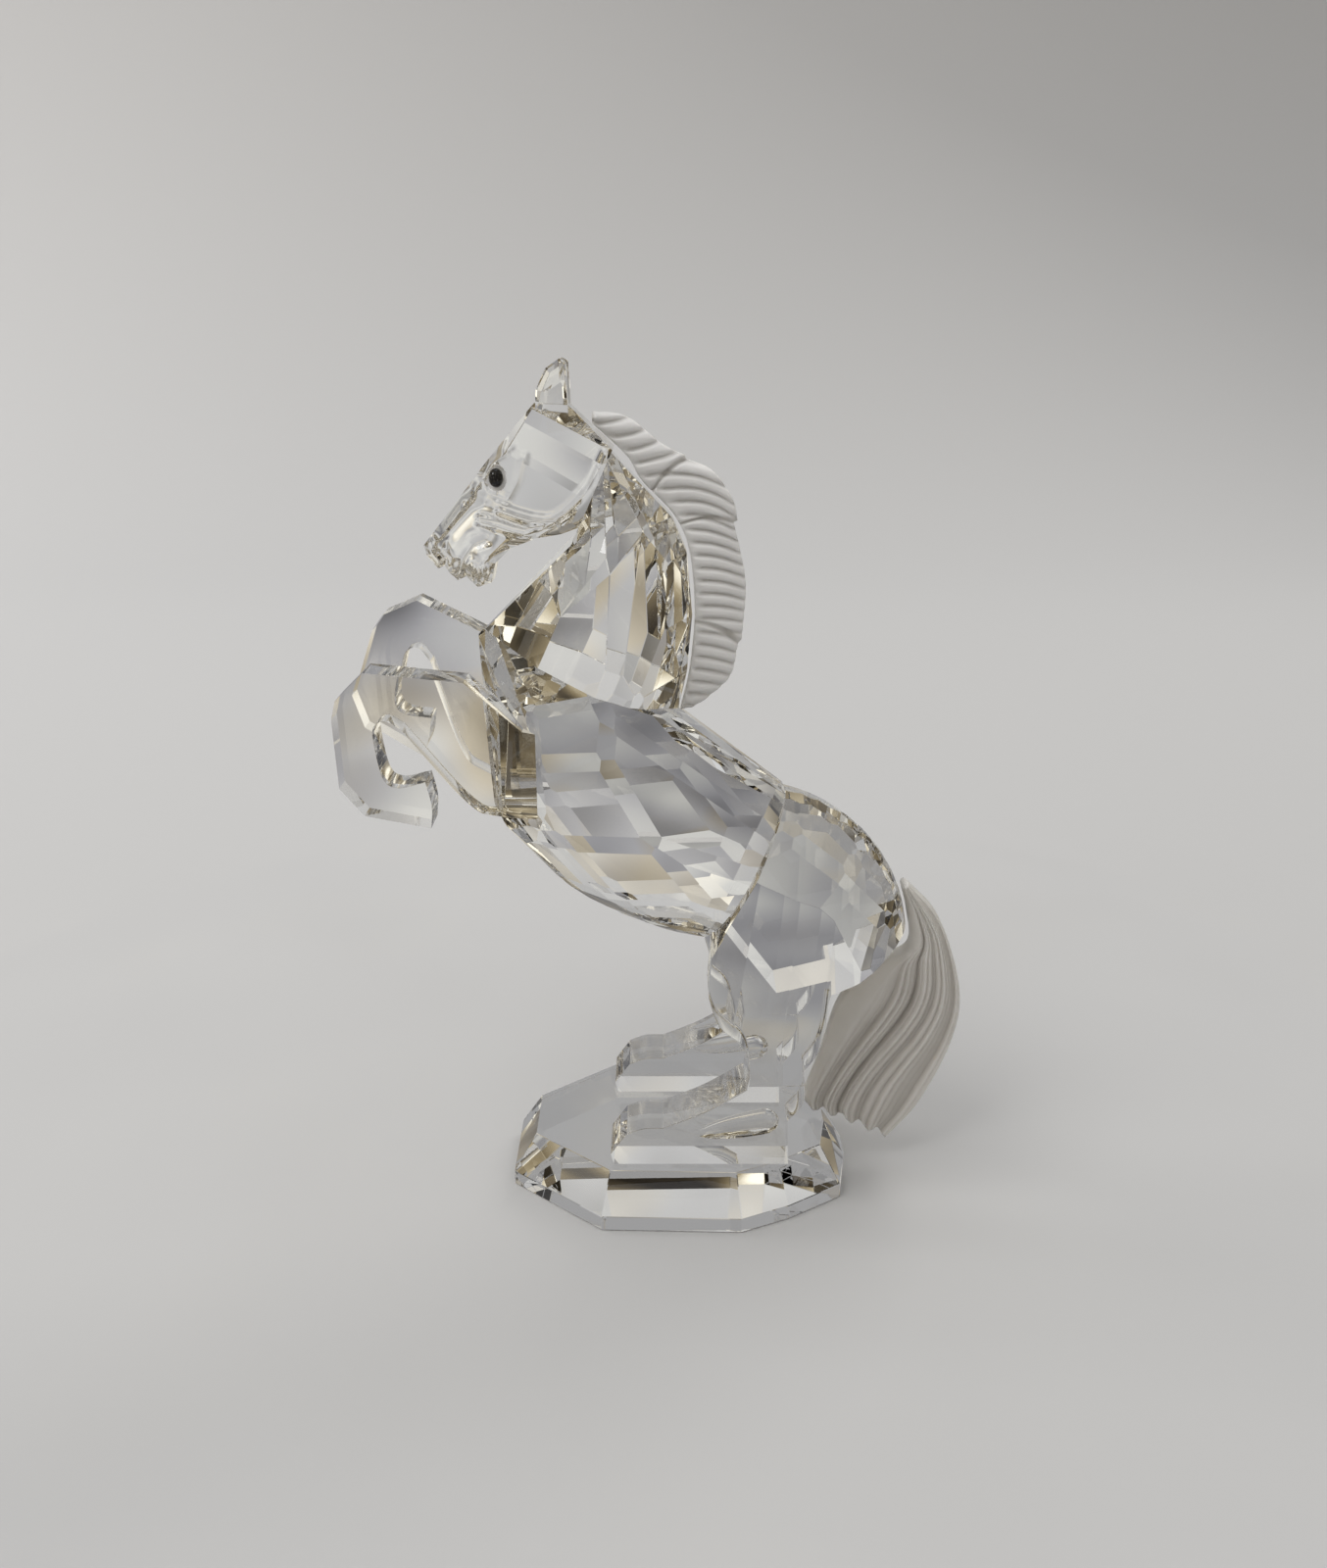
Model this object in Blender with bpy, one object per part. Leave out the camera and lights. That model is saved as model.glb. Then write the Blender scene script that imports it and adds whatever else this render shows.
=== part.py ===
"""A rearing horse of cut crystal on a faceted plinth, glued together from eleven pieces.

The horse looks to -X, so its left side faces -Y.  The origin is the middle of the plinth's
underside, +Z is up, and lengths are in metres.
"""
import math

import bmesh
import bpy
from mathutils import Matrix, Vector

for old in list(bpy.data.objects):
    bpy.data.objects.remove(old, do_unlink=True)

# Plinth: an elongated plate with an upright girdle and a sloping crown around a flat table
PLINTH_LENGTH = 0.0455
PLINTH_WIDTH = 0.0336
PLINTH_HEIGHT = 0.0070
GIRDLE_HEIGHT = 0.0020
CROWN_WIDTH = 0.0030

# Horse: from the plinth's table to the tips of the ears
HORSE_HEIGHT = 0.1010

# Thicknesses of the flat pieces, and the rim ground round the forelegs
FORELEG_THICKNESS = 0.0048
HIND_LEG_THICKNESS = 0.0070
MANE_THICKNESS = 0.0032
TAIL_THICKNESS = 0.0046
RIM_WIDTH = 0.0015

# Eyes: oval beads, and the room around them in their sockets
EYE_LENGTH = 0.0024
EYE_WIDTH = 0.0020
EYE_DEPTH = 0.0016
EYE_CLEARANCE = 0.0002
# The far eye sits this far down the nose, so that the glass shows it behind the near one
FAR_EYE_SLIDE = 0.0006

# Room that the glue takes between two pieces, and room under the tail, which hangs free
GLUE_GAP = 0.0003
TAIL_CLEARANCE = 0.0005

# The horse is drawn on a grid with 101 units from the table to the ear tips, whose heights
# count from 7 at the table
GRID_HEIGHT = 101.0
GRID_TABLE = 7.0
UNIT = HORSE_HEIGHT / GRID_HEIGHT

# Proportions on that grid: the neck's foot above the body's axis, the end of the body's back
# behind its middle, how far the middles of the legs lie to each side, and the full width of
# the rim ground round the hind legs
NECK_FOOT_UP = 13.6
BACK_END = 19.3
FORELEG_SPREAD = 8.0
HIND_LEG_SPREAD = 8.8
HIND_RIM = 1.5

CLEAR = (0.93, 0.92, 0.89, 1.0)
FROSTED = (0.80, 0.80, 0.79, 1.0)
WARM_FROSTED = (0.74, 0.72, 0.69, 1.0)
BLACK = (0.01, 0.01, 0.012, 1.0)


def at(x, z, y=0.0):
    """The place of a point of the horse's grid."""
    return Vector((x * UNIT, y * UNIT, PLINTH_HEIGHT + (z - GRID_TABLE) * UNIT))


def material(name, colour, roughness, transmission=0.0):
    """A material with one plain colour and finish."""
    made = bpy.data.materials.get(name) or bpy.data.materials.new(name)
    made.use_nodes = True
    shader = made.node_tree.nodes["Principled BSDF"]
    shader.inputs["Base Color"].default_value = colour
    shader.inputs["Roughness"].default_value = roughness
    shader.inputs["Metallic"].default_value = 0.0
    shader.inputs["Transmission Weight"].default_value = transmission
    made.diffuse_color = colour
    return made


def crystal():
    return material("clear_crystal", CLEAR, 0.02, 1.0)


def frosted_glass():
    return material("frosted_glass", FROSTED, 0.55, 0.4)


def warm_frosted_glass():
    return material("warm_frosted_glass", WARM_FROSTED, 0.55, 0.4)


def black_bead():
    return material("black_bead", BLACK, 0.08)


def make_object(name, bm, finish):
    """Turn a bmesh into an object of the scene."""
    bmesh.ops.recalc_face_normals(bm, faces=bm.faces[:])
    mesh = bpy.data.meshes.new(name)
    bm.to_mesh(mesh)
    bm.free()
    mesh.materials.append(finish)
    obj = bpy.data.objects.new(name, mesh)
    bpy.context.scene.collection.objects.link(obj)
    return obj


def combine(obj, other, operation):
    """Join a shape to an object, or cut it out, and drop the shape."""
    boolean = obj.modifiers.new(operation.lower(), "BOOLEAN")
    boolean.operation = operation
    boolean.solver = "EXACT"
    boolean.object = other
    bpy.context.view_layer.update()
    evaluated = obj.evaluated_get(bpy.context.evaluated_depsgraph_get())
    mesh = bpy.data.meshes.new_from_object(evaluated)
    obj.modifiers.clear()
    obj.data = mesh
    bpy.data.objects.remove(other, do_unlink=True)


def cut(bm, point, outward):
    """Grind one flat facet: what lies outward of the plane goes."""
    geometry = bm.verts[:] + bm.edges[:] + bm.faces[:]
    result = bmesh.ops.bisect_plane(
        bm, geom=geometry, dist=1e-7, plane_co=point, plane_no=outward, clear_outer=True)
    rim = [item for item in result["geom_cut"] if isinstance(item, bmesh.types.BMEdge)]
    if len(rim) > 2:
        bmesh.ops.edgeloop_fill(bm, edges=rim)


def cut_through(bm, inside, first, second, third):
    """Grind the facet that passes through three corners, away from a point inside."""
    normal = (second - first).cross(third - first).normalized()
    if normal.dot(inside - first) > 0.0:
        normal.negate()
    cut(bm, first, normal)


def rough_block(centre, size):
    """The uncut block that a faceted piece is ground from."""
    bm = bmesh.new()
    bmesh.ops.create_cube(bm, size=size, matrix=Matrix.Translation(centre))
    return bm


def facet_rows(bm, centre, frame, radii, rows):
    """Grind rows of facets that touch an ellipsoid.

    frame holds the ellipsoid's three axes and radii its half-sizes along them, the first
    one along the rows' pole.  Each row gives its tilt towards the pole, its number of
    facets and the turn of its first facet, in degrees.
    """
    pole, up, side = frame
    for tilt, count, start in rows:
        for index in range(count):
            turn = math.radians(start + 360.0 * index / count)
            lean = math.radians(tilt)
            parts = (math.sin(lean), math.cos(lean) * math.cos(turn), math.cos(lean) * math.sin(turn))
            normal = pole * parts[0] + up * parts[1] + side * parts[2]
            reach = math.sqrt(sum((radius * part) ** 2 for radius, part in zip(radii, parts)))
            cut(bm, centre + normal * reach, normal)


def plate(outline, half_thickness, rim_drop, rim_width=RIM_WIDTH):
    """A flat piece with an even ground rim: an outline in the XZ plane, thick in Y.

    half_thickness(point) is half its thickness at a point, and rim_drop how far the rim's
    outer edge lies below the flat side.
    """
    bm = bmesh.new()
    face = bm.faces.new([bm.verts.new(point) for point in outline])
    back = bmesh.ops.extrude_face_region(bm, geom=[face])
    far_face = next(item for item in back["geom"] if isinstance(item, bmesh.types.BMFace))
    for flat, side in ((face, -1.0), (far_face, 1.0)):
        for vert in flat.verts:
            vert.co.y = side
    bmesh.ops.recalc_face_normals(bm, faces=bm.faces[:])
    flats = [item for item in bm.faces if abs(item.normal.y) > 0.9]
    for flat in flats:
        bmesh.ops.inset_region(bm, faces=[flat], thickness=rim_width, use_even_offset=True)
    inner = {vert for flat in flats for vert in flat.verts}
    for vert in bm.verts:
        side = math.copysign(1.0, vert.co.y)
        vert.co.y = side * (half_thickness(vert.co) - (0.0 if vert in inner else rim_drop))
    return bm


def rimmed_plate(outline, thickness):
    """A flat piece whose rim is ground to a width of its own along each edge.

    outline holds points in the XZ plane, each with the width of the rim up to the next one.
    """
    bm = bmesh.new()
    weights = bm.edges.layers.float.new("bevel_weight_edge")
    widest = max(width for point, width in outline)
    corners = [bm.verts.new(point) for point, width in outline]
    face = bm.faces.new(corners)
    for index, (point, width) in enumerate(outline):
        edge = bm.edges.get((corners[index], corners[(index + 1) % len(corners)]))
        edge[weights] = width / widest
    far_side = bmesh.ops.duplicate(bm, geom=[face])["geom"]
    bmesh.ops.translate(bm, verts=face.verts[:], vec=(0.0, -thickness / 2, 0.0))
    bmesh.ops.translate(bm, verts=[item for item in far_side if isinstance(item, bmesh.types.BMVert)],
                        vec=(0.0, thickness / 2, 0.0))
    bmesh.ops.bridge_loops(bm, edges=bm.edges[:])
    prism = make_object("prism", bm, crystal())
    rim = prism.modifiers.new("rim", "BEVEL")
    rim.limit_method = "WEIGHT"
    rim.width = widest
    rim.segments = 1
    bpy.context.view_layer.update()
    bm = bmesh.new()
    bm.from_object(prism, bpy.context.evaluated_depsgraph_get())
    bpy.data.objects.remove(prism, do_unlink=True)
    bmesh.ops.remove_doubles(bm, verts=bm.verts[:], dist=1e-6)
    return bm


def smooth_path(points, steps):
    """Points along a smooth curve through the given ones, steps to each stretch."""
    ends = [points[0] * 2 - points[1]] + list(points) + [points[-1] * 2 - points[-2]]
    path = []
    for index in range(1, len(ends) - 2):
        before, start, stop, after = ends[index - 1:index + 3]
        for step in range(steps):
            t = step / steps
            path.append(0.5 * (start * 2 + (stop - before) * t
                               + (before * 2 - start * 5 + stop * 4 - after) * t ** 2
                               + (start * 3 - before - stop * 3 + after) * t ** 3))
    path.append(Vector(points[-1]))
    return path


def point_on(path, share):
    """The point at a share of a path's length."""
    lengths = [(b - a).length for a, b in zip(path, path[1:])]
    left = share * sum(lengths)
    for start, stop, length in zip(path, path[1:], lengths):
        if left <= length:
            return start.lerp(stop, left / length)
        left -= length
    return path[-1].copy()


def set_off(points, distance):
    """A path in the XZ plane, moved to its right by a distance."""
    moved = []
    for index, point in enumerate(points):
        along = points[min(index + 1, len(points) - 1)] - points[max(index - 1, 0)]
        along.normalize()
        moved.append(point + Vector((along.z, 0.0, -along.x)) * distance)
    return moved


def moulded_plate(lines, half_thickness):
    """A moulded flat piece between two edges, as two sheets joined around their border.

    lines holds rows of points in the XZ plane, each from one edge to the other, and
    half_thickness(row, column) gives the relief at a share of the rows and columns.
    """
    bm = bmesh.new()
    rows, columns = len(lines) - 1, len(lines[0]) - 1
    for side in (-1.0, 1.0):
        sheet = bmesh.ops.create_grid(bm, x_segments=columns, y_segments=rows, size=0.5)["verts"]
        for vert in sheet:
            row, column = vert.co.y + 0.5, vert.co.x + 0.5
            vert.co = lines[round(row * rows)][round(column * columns)]
            vert.co.y = side * half_thickness(row, column)
    bmesh.ops.bridge_loops(bm, edges=[edge for edge in bm.edges if edge.is_boundary])
    return bm


# The uncut block that a faceted piece is ground from
ROUGH_SIZE = 80 * UNIT

# Joints between the pieces: a point of each joint plane and the way it faces
BODY_CENTRE = at(-7.0, 54.0)
BODY_AXIS = Vector((0.92, 0.0, -0.39)).normalized()
BODY_UP = Vector((0.39, 0.0, 0.92)).normalized()
SIDEWAYS = Vector((0.0, 1.0, 0.0))


def on_body(along, up, side=0.0):
    """A point from the body's centre, along its axis, up and sideways, in grid units."""
    return BODY_CENTRE + (BODY_AXIS * along + BODY_UP * up + SIDEWAYS * side) * UNIT


NECK_JOINT = (on_body(-12.0, NECK_FOOT_UP), BODY_UP)
RUMP_JOINT = (at(7.9, 45.6), Vector((0.883, 0.0, -0.469)).normalized())
HEAD_JOINT = (at(-10.4, 93.0), Vector((-0.908, 0.0, 0.418)).normalized())
SHOULDER_FRONT = at(-25.5, 62.0, 2.0)

# The rump's round back, which the tail is glued to, and its facets around
RUMP_CENTRE = at(8.2, 34.3)
RUMP_RADIUS = 21.5 * UNIT
RUMP_FACETS = 24

# The crest of the neck, from its foot up to the back of the head, which the mane is glued to
CREST = ((-0.6, 66.0), (0.5, 71.0), (1.1, 78.1), (0.4, 85.6), (-1.4, 89.9), (-5.2, 93.9), (-7.0, 96.8))
POLL = (-11.0, 100.5)


def shoulder_joint(side):
    """The flat on the chest that a foreleg is glued to, facing forward and outward."""
    point = SHOULDER_FRONT.copy()
    point.y *= side
    return point, Vector((-0.72, 0.69 * side, 0.0)).normalized()


def behind_rump_joint(height):
    """The point that the glue's gap leaves behind the rump's joint, at a height of the grid."""
    point, normal = RUMP_JOINT
    start = at(0.0, height)
    return start + Vector(((point - start).dot(normal) / normal.x, 0.0, 0.0)) + normal * GLUE_GAP


def cut_joint(bm, joint, facing):
    """Cut a piece at a joint; facing is 1 on the side that the joint's normal leaves."""
    point, normal = joint
    cut(bm, point - normal * facing * GLUE_GAP / 2, normal * facing)


def make_plinth():
    """Plinth with twelve sides: girdle, crown and table."""
    shares = ((-1.0, 0.37), (-0.46, 0.97), (0.34, 1.0), (0.62, 0.83), (0.94, 0.55), (1.0, 0.12))
    half = [(x * PLINTH_LENGTH / 2, y * PLINTH_WIDTH / 2) for x, y in shares]
    outline = [(x, -y) for x, y in half] + [(x, y) for x, y in reversed(half)]
    bm = bmesh.new()
    bottom = bm.faces.new([bm.verts.new((x, y, 0.0)) for x, y in outline])
    girdle = bmesh.ops.extrude_face_region(bm, geom=[bottom])["geom"]
    top = next(item for item in girdle if isinstance(item, bmesh.types.BMFace))
    bmesh.ops.translate(bm, verts=top.verts[:], vec=(0.0, 0.0, GIRDLE_HEIGHT))
    bmesh.ops.recalc_face_normals(bm, faces=bm.faces[:])
    bmesh.ops.inset_region(bm, faces=[top], thickness=CROWN_WIDTH, use_even_offset=True)
    bmesh.ops.translate(bm, verts=top.verts[:], vec=(0.0, 0.0, PLINTH_HEIGHT - GIRDLE_HEIGHT))
    return make_object("plinth", bm, crystal())


def make_body():
    """Barrel with a sloping back, a flat chest and rows of long facets around it."""
    bm = rough_block(BODY_CENTRE, ROUGH_SIZE)
    cut_joint(bm, NECK_JOINT, 1)
    cut_joint(bm, RUMP_JOINT, 1)
    for side in (-1, 1):
        cut_joint(bm, shoulder_joint(side), 1)
    cut(bm, at(-24.8, 70.0), Vector((-1.0, 0.0, -0.08)))
    cut(bm, at(-22.8, 53.0), Vector((-0.75, 0.0, -0.66)))

    inside = on_body(0.0, 0.0)
    ridge_start = on_body(1.0, NECK_FOOT_UP)
    ridge_end_up = 8.9
    cut_through(bm, inside, ridge_start, ridge_start + SIDEWAYS * UNIT,
                on_body(BACK_END, ridge_end_up))
    # Three facets beside the ridge: each one's start on the neck's foot, its end at the rump
    # and its lower corner there, as (along or up, side)
    back = (((1.0, 1.4), (8.9, 1.6), (8.3, 4.2)),
            ((-1.2, 3.8), (7.9, 4.4), (5.8, 7.2)),
            ((-4.2, 7.2), (6.9, 7.2), (1.7, 10.0)))
    for side in (-1, 1):
        for (along, start_side), (end_up, end_side), (low_up, low_side) in back:
            cut_through(bm, inside, on_body(along, NECK_FOOT_UP, side * start_side),
                        on_body(BACK_END, end_up, side * end_side),
                        on_body(BACK_END, low_up, side * low_side))
    # Rows by their turn from the back, their reach from the axis and their facets' tilts
    rows = ((70.0, 13.5, (-22.0, 0.0, 19.0)),
            (90.0, 12.2, (-38.0, -13.0, 9.0, 28.0)),
            (110.0, 12.5, (-28.0, -3.0, 18.0)),
            (130.0, 13.1, (-40.0, -14.0, 8.0, 28.0)),
            (149.0, 13.7, (-29.0, -4.0, 17.0)),
            (166.0, 14.1, (-42.0, -15.0, 7.0, 27.0)),
            (180.0, 14.15, (-29.0, -5.0, 16.0)))
    for turn, reach, tilts in rows:
        for side in (-1, 1):
            cut_row(bm, side * turn, reach, tilts)
    return make_object("body", bm, crystal())


def cut_row(bm, turn, reach, tilts):
    """One row of the barrel's facets, turned from the back by an angle.

    reach is how far the row lies from the axis in its middle, and each tilt leans a facet
    towards the tail, or towards the chest where it is negative.
    """
    middle = on_body(6.0, 0.0)
    half_length = 27.0
    around = BODY_UP * math.cos(math.radians(turn)) + SIDEWAYS * math.sin(math.radians(turn))
    for tilt in tilts:
        lean = math.radians(tilt)
        normal = BODY_AXIS * math.sin(lean) + around * math.cos(lean)
        distance = math.hypot(half_length * math.sin(lean), reach * math.cos(lean))
        cut(bm, middle + normal * distance * UNIT, normal)


def make_neck():
    """Neck with a girdle round its foot, large kites on its sides and a narrow crest."""
    inside = at(-10.0, 79.0)
    bm = rough_block(inside, ROUGH_SIZE)
    cut_joint(bm, NECK_JOINT, -1)
    cut(bm, at(-8.0, 97.8), Vector((0.0, 0.0, 1.0)))
    # The crest bends inward at its top, so the facet below that bend runs on to the head
    crest_facets = list(zip(CREST, CREST[1:-1]))
    for low, high in crest_facets:
        cut_through(bm, inside, at(*low), at(*high), at(*low, 1.0))
    # The foot's corners by their place along the body and half-width, and the girdle's height
    # and lean above them
    foot = ((-24.3, 1.2), (-17.5, 8.7), (-14.9, 10.5), (-9.6, 11.5), (-5.2, 9.9), (1.0, 3.4))
    girdle_height = 3.6
    girdle_lean = 0.35
    for side in (-1, 1):
        corners = [on_body(along, NECK_FOOT_UP, side * out) for along, out in foot]
        tops = [on_body(along, NECK_FOOT_UP + girdle_height, side * (out - girdle_lean))
                for along, out in foot]
        for index in range(len(foot) - 1):
            cut_through(bm, inside, corners[index], corners[index + 1], tops[index])
        kite_top = at(-10.6, 92.6, side * 4.9)
        kite_left = at(-14.5, 79.2, side * 8.2)
        kite_right = at(-8.6, 84.3, side * 8.8)
        shoulder = at(-4.9, 88.6, side * 6.2)
        crest_high = at(-3.1, 86.2, side * 5.2)
        crest_low = at(-2.7, 76.5, side * 6.4)
        cut_through(bm, inside, tops[0], kite_top, kite_left)
        cut_through(bm, inside, kite_top, kite_left, kite_right)
        cut_through(bm, inside, kite_top, kite_right, shoulder)
        cut_through(bm, inside, kite_left, tops[1], tops[2])
        cut_through(bm, inside, kite_left, kite_right, tops[3])
        cut_through(bm, inside, kite_right, shoulder, tops[4])
        cut_through(bm, inside, shoulder, crest_high, crest_low)
        for low, high in crest_facets:
            cut_through(bm, inside, at(*low, side * 1.3), at(*high, side * 1.3),
                        at(low[0] - 2.4, low[1] - 0.6, side * 4.6))
    neck = make_object("neck", bm, crystal())
    # The head's seat, above the throat's line
    before_throat = at(-30.0, 95.0)
    notch = rough_block(before_throat, ROUGH_SIZE)
    cut_joint(notch, HEAD_JOINT, -1)
    cut_through(notch, before_throat, at(-24.2, 76.3), at(-12.1, 88.3), at(-12.1, 88.3, 1.0))
    combine(neck, make_object("notch", notch, crystal()), "DIFFERENCE")
    return neck


def head_half_width(point):
    """Half the head's width: it tapers from the cheeks to the muzzle."""
    from_cheeks = max((point - at(-9.5, 97.0)).dot(Vector((-0.80, 0.0, -0.60))), 0.0)
    return 5.0 * UNIT - 0.085 * from_cheeks


def make_head():
    """Head with both ears, its profile ground from a wedge."""
    profile = ((-8.3, 97.8), (-11.4, 100.9), (-13.5, 102.9), (-17.3, 103.1), (-22.9, 96.7),
               (-31.1, 86.6), (-30.8, 85.4), (-29.5, 83.8), (-28.7, 84.2), (-28.2, 83.3),
               (-27.2, 82.4), (-26.2, 82.9), (-24.8, 81.6), (-23.1, 82.2), (-22.6, 84.5),
               (-20.6, 86.4), (-17.4, 87.6), (-14.6, 88.1), (-12.4, 88.9))
    bm = plate([at(x, z) for x, z in profile], head_half_width, 1.7 * UNIT, 1.3 * UNIT)
    cut_joint(bm, HEAD_JOINT, -1)
    head = make_object("head", bm, crystal())
    for side in (-1, 1):
        combine(head, make_ear(side), "UNION")
        combine(head, eye_shape("socket", side, EYE_CLEARANCE), "DIFFERENCE")
    return head


def ear_half_width(point):
    """Half an ear's thickness: it thins towards the tip."""
    return 1.7 * UNIT - 0.13 * (point.z - at(0.0, 102.0).z)


def make_ear(side):
    """One ear, standing on the poll."""
    outline = ((-17.1, 102.4), (-17.0, 104.6), (-15.9, 106.9), (-14.3, 108.0), (-13.6, 107.6),
               (-13.4, 102.0))
    bm = plate([at(x, z) for x, z in outline], ear_half_width, 0.55 * UNIT, 0.7 * UNIT)
    bmesh.ops.translate(bm, verts=bm.verts[:], vec=SIDEWAYS * side * 2.5 * UNIT)
    return make_object("ear", bm, crystal())


def eye_shape(name, side, growth=0.0):
    """An oval bead standing in the head's side, -1 for the near one; growth makes its socket."""
    bm = bmesh.new()
    bmesh.ops.create_uvsphere(bm, u_segments=12, v_segments=8, radius=0.5)
    size = [EYE_WIDTH + 2 * growth, EYE_DEPTH + 2 * growth, EYE_LENGTH + 2 * growth]
    bmesh.ops.scale(bm, verts=bm.verts[:], vec=size)
    place = at(-21.85, 94.8)
    if side > 0:
        place += Vector((-0.77, 0.0, -0.64)) * FAR_EYE_SLIDE
    place.y = side * head_half_width(place)
    bmesh.ops.translate(bm, verts=bm.verts[:], vec=place)
    return make_object(name, bm, black_bead())


def make_foreleg(name, side, lift):
    """A bent foreleg: upper leg, knee, cannon and hoof in one ground plate.

    lift turns it up about the shoulder, in degrees.
    """
    outline = ((-25.9, 71.9), (-37.6, 73.1), (-41.1, 69.7), (-41.7, 67.4), (-41.4, 58.8), (-38.6, 55.3),
               (-30.6, 53.7), (-31.0, 59.6), (-34.4, 58.9), (-36.1, 60.2), (-36.9, 65.2),
               (-36.5, 66.8), (-35.3, 67.2), (-33.6, 66.2), (-26.1, 57.0), (-22.0, 55.2),
               (-12.0, 54.6), (-12.0, 64.6), (-19.2, 65.9))
    rim_drop = 0.34 * FORELEG_THICKNESS
    bm = plate([at(x, z) for x, z in outline], lambda point: FORELEG_THICKNESS / 2, rim_drop)
    shoulder = at(-21.1, 65.3)
    bmesh.ops.rotate(bm, verts=bm.verts[:], cent=shoulder,
                     matrix=Matrix.Rotation(math.radians(lift), 3, "Y"))
    bmesh.ops.translate(bm, verts=bm.verts[:], vec=SIDEWAYS * side * FORELEG_SPREAD * UNIT)
    bmesh.ops.recalc_face_normals(bm, faces=bm.faces[:])
    cut_joint(bm, shoulder_joint(side), -1)
    return make_object(name, bm, crystal())


def make_hindquarters():
    """Rump with both hind legs, down to the hooves on the plinth."""
    bm = rough_block(RUMP_CENTRE, ROUGH_SIZE)
    cut_joint(bm, RUMP_JOINT, -1)
    cut(bm, at(20.5, 32.3), Vector((0.25, 0.0, -0.97)))
    cut(bm, at(20.5, 32.3), Vector((0.45, 0.0, -0.89)))
    cut(bm, at(7.0, 37.0), Vector((-0.8, 0.0, -0.6)))
    frame = (SIDEWAYS, Vector((1.0, 0.0, 0.0)), Vector((0.0, 0.0, 1.0)))
    radii = (14.5 * UNIT, RUMP_RADIUS, RUMP_RADIUS)
    rows = [(0.0, RUMP_FACETS, 0.0)]
    for side in (-1, 1):
        cut(bm, SIDEWAYS * side * (HIND_LEG_SPREAD * UNIT + HIND_LEG_THICKNESS / 2), SIDEWAYS * side)
        rows += [(side * 20.0, RUMP_FACETS, 180.0 / RUMP_FACETS), (side * 39.0, 20, 0.0),
                 (side * 57.0, 16, 11.0)]
    facet_rows(bm, RUMP_CENTRE, frame, radii, rows)
    rump = make_object("hindquarters", bm, crystal())
    for side in (-1, 1):
        combine(rump, make_hind_leg(side), "UNION")
    return rump


def make_hind_leg(side):
    """Thigh, shin, cannon and hoof of one hind leg, with a scoop under the cannon.

    Its outline starts on the joint, ends inside the rump and runs on below the sole, which
    is then cut flat.  Each point has the share of the full rim that is ground up to the next.
    """
    leg = ((3.3, 31.3, 0.8), (4.6, 27.6, 1.5), (7.6, 24.6, 1.6), (8.6, 21.4, 1.3), (8.2, 18.4, 1.1),
           (3.0, 15.1, 1.1), (-2.4, 12.7, 1.0), (-5.0, 12.6, 1.0), (-7.2, 11.8, 0.8), (-9.3, 8.8, 0.6),
           (-8.2, 4.6, 0.0), (14.1, 4.6, 0.6), (13.7, 13.6, 0.9), (15.7, 16.6, 0.9), (15.6, 21.0, 1.3),
           (17.3, 23.6, 1.7), (18.1, 27.0, 1.5), (18.4, 30.8, 0.0), (19.3, 34.0, 0.0),
           (19.0, 38.5, 0.0), (16.0, 42.5, 0.0))
    outline = [(behind_rump_joint(44.0), 0.0), (behind_rump_joint(37.0), 0.5 * HIND_RIM * UNIT)]
    outline += [(at(x, z), share * HIND_RIM * UNIT) for x, z, share in leg]
    bm = rimmed_plate(outline, HIND_LEG_THICKNESS)
    bmesh.ops.translate(bm, verts=bm.verts[:], vec=SIDEWAYS * side * HIND_LEG_SPREAD * UNIT)
    bmesh.ops.recalc_face_normals(bm, faces=bm.faces[:])
    foot = PLINTH_HEIGHT + GLUE_GAP
    cut(bm, Vector((0.0, 0.0, foot)), Vector((0.0, 0.0, -1.0)))
    leg = make_object("leg", bm, crystal())
    combine(leg, make_scoop(side), "DIFFERENCE")
    return leg


def make_scoop(side):
    """The long hollow ground into the outer side of a leg, under its cannon."""
    bm = bmesh.new()
    bmesh.ops.create_uvsphere(bm, u_segments=16, v_segments=8, radius=UNIT)
    bmesh.ops.scale(bm, verts=bm.verts[:], vec=(9.0, 4.6, 2.9))
    bmesh.ops.rotate(bm, verts=bm.verts[:], cent=(0, 0, 0),
                     matrix=Matrix.Rotation(math.radians(-19.0), 3, "Y"))
    outward = HIND_LEG_SPREAD * UNIT + HIND_LEG_THICKNESS / 2 + 1.3 * UNIT
    bmesh.ops.translate(bm, verts=bm.verts[:], vec=at(5.4, 10.6) + SIDEWAYS * side * outward)
    return make_object("scoop", bm, crystal())


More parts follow.
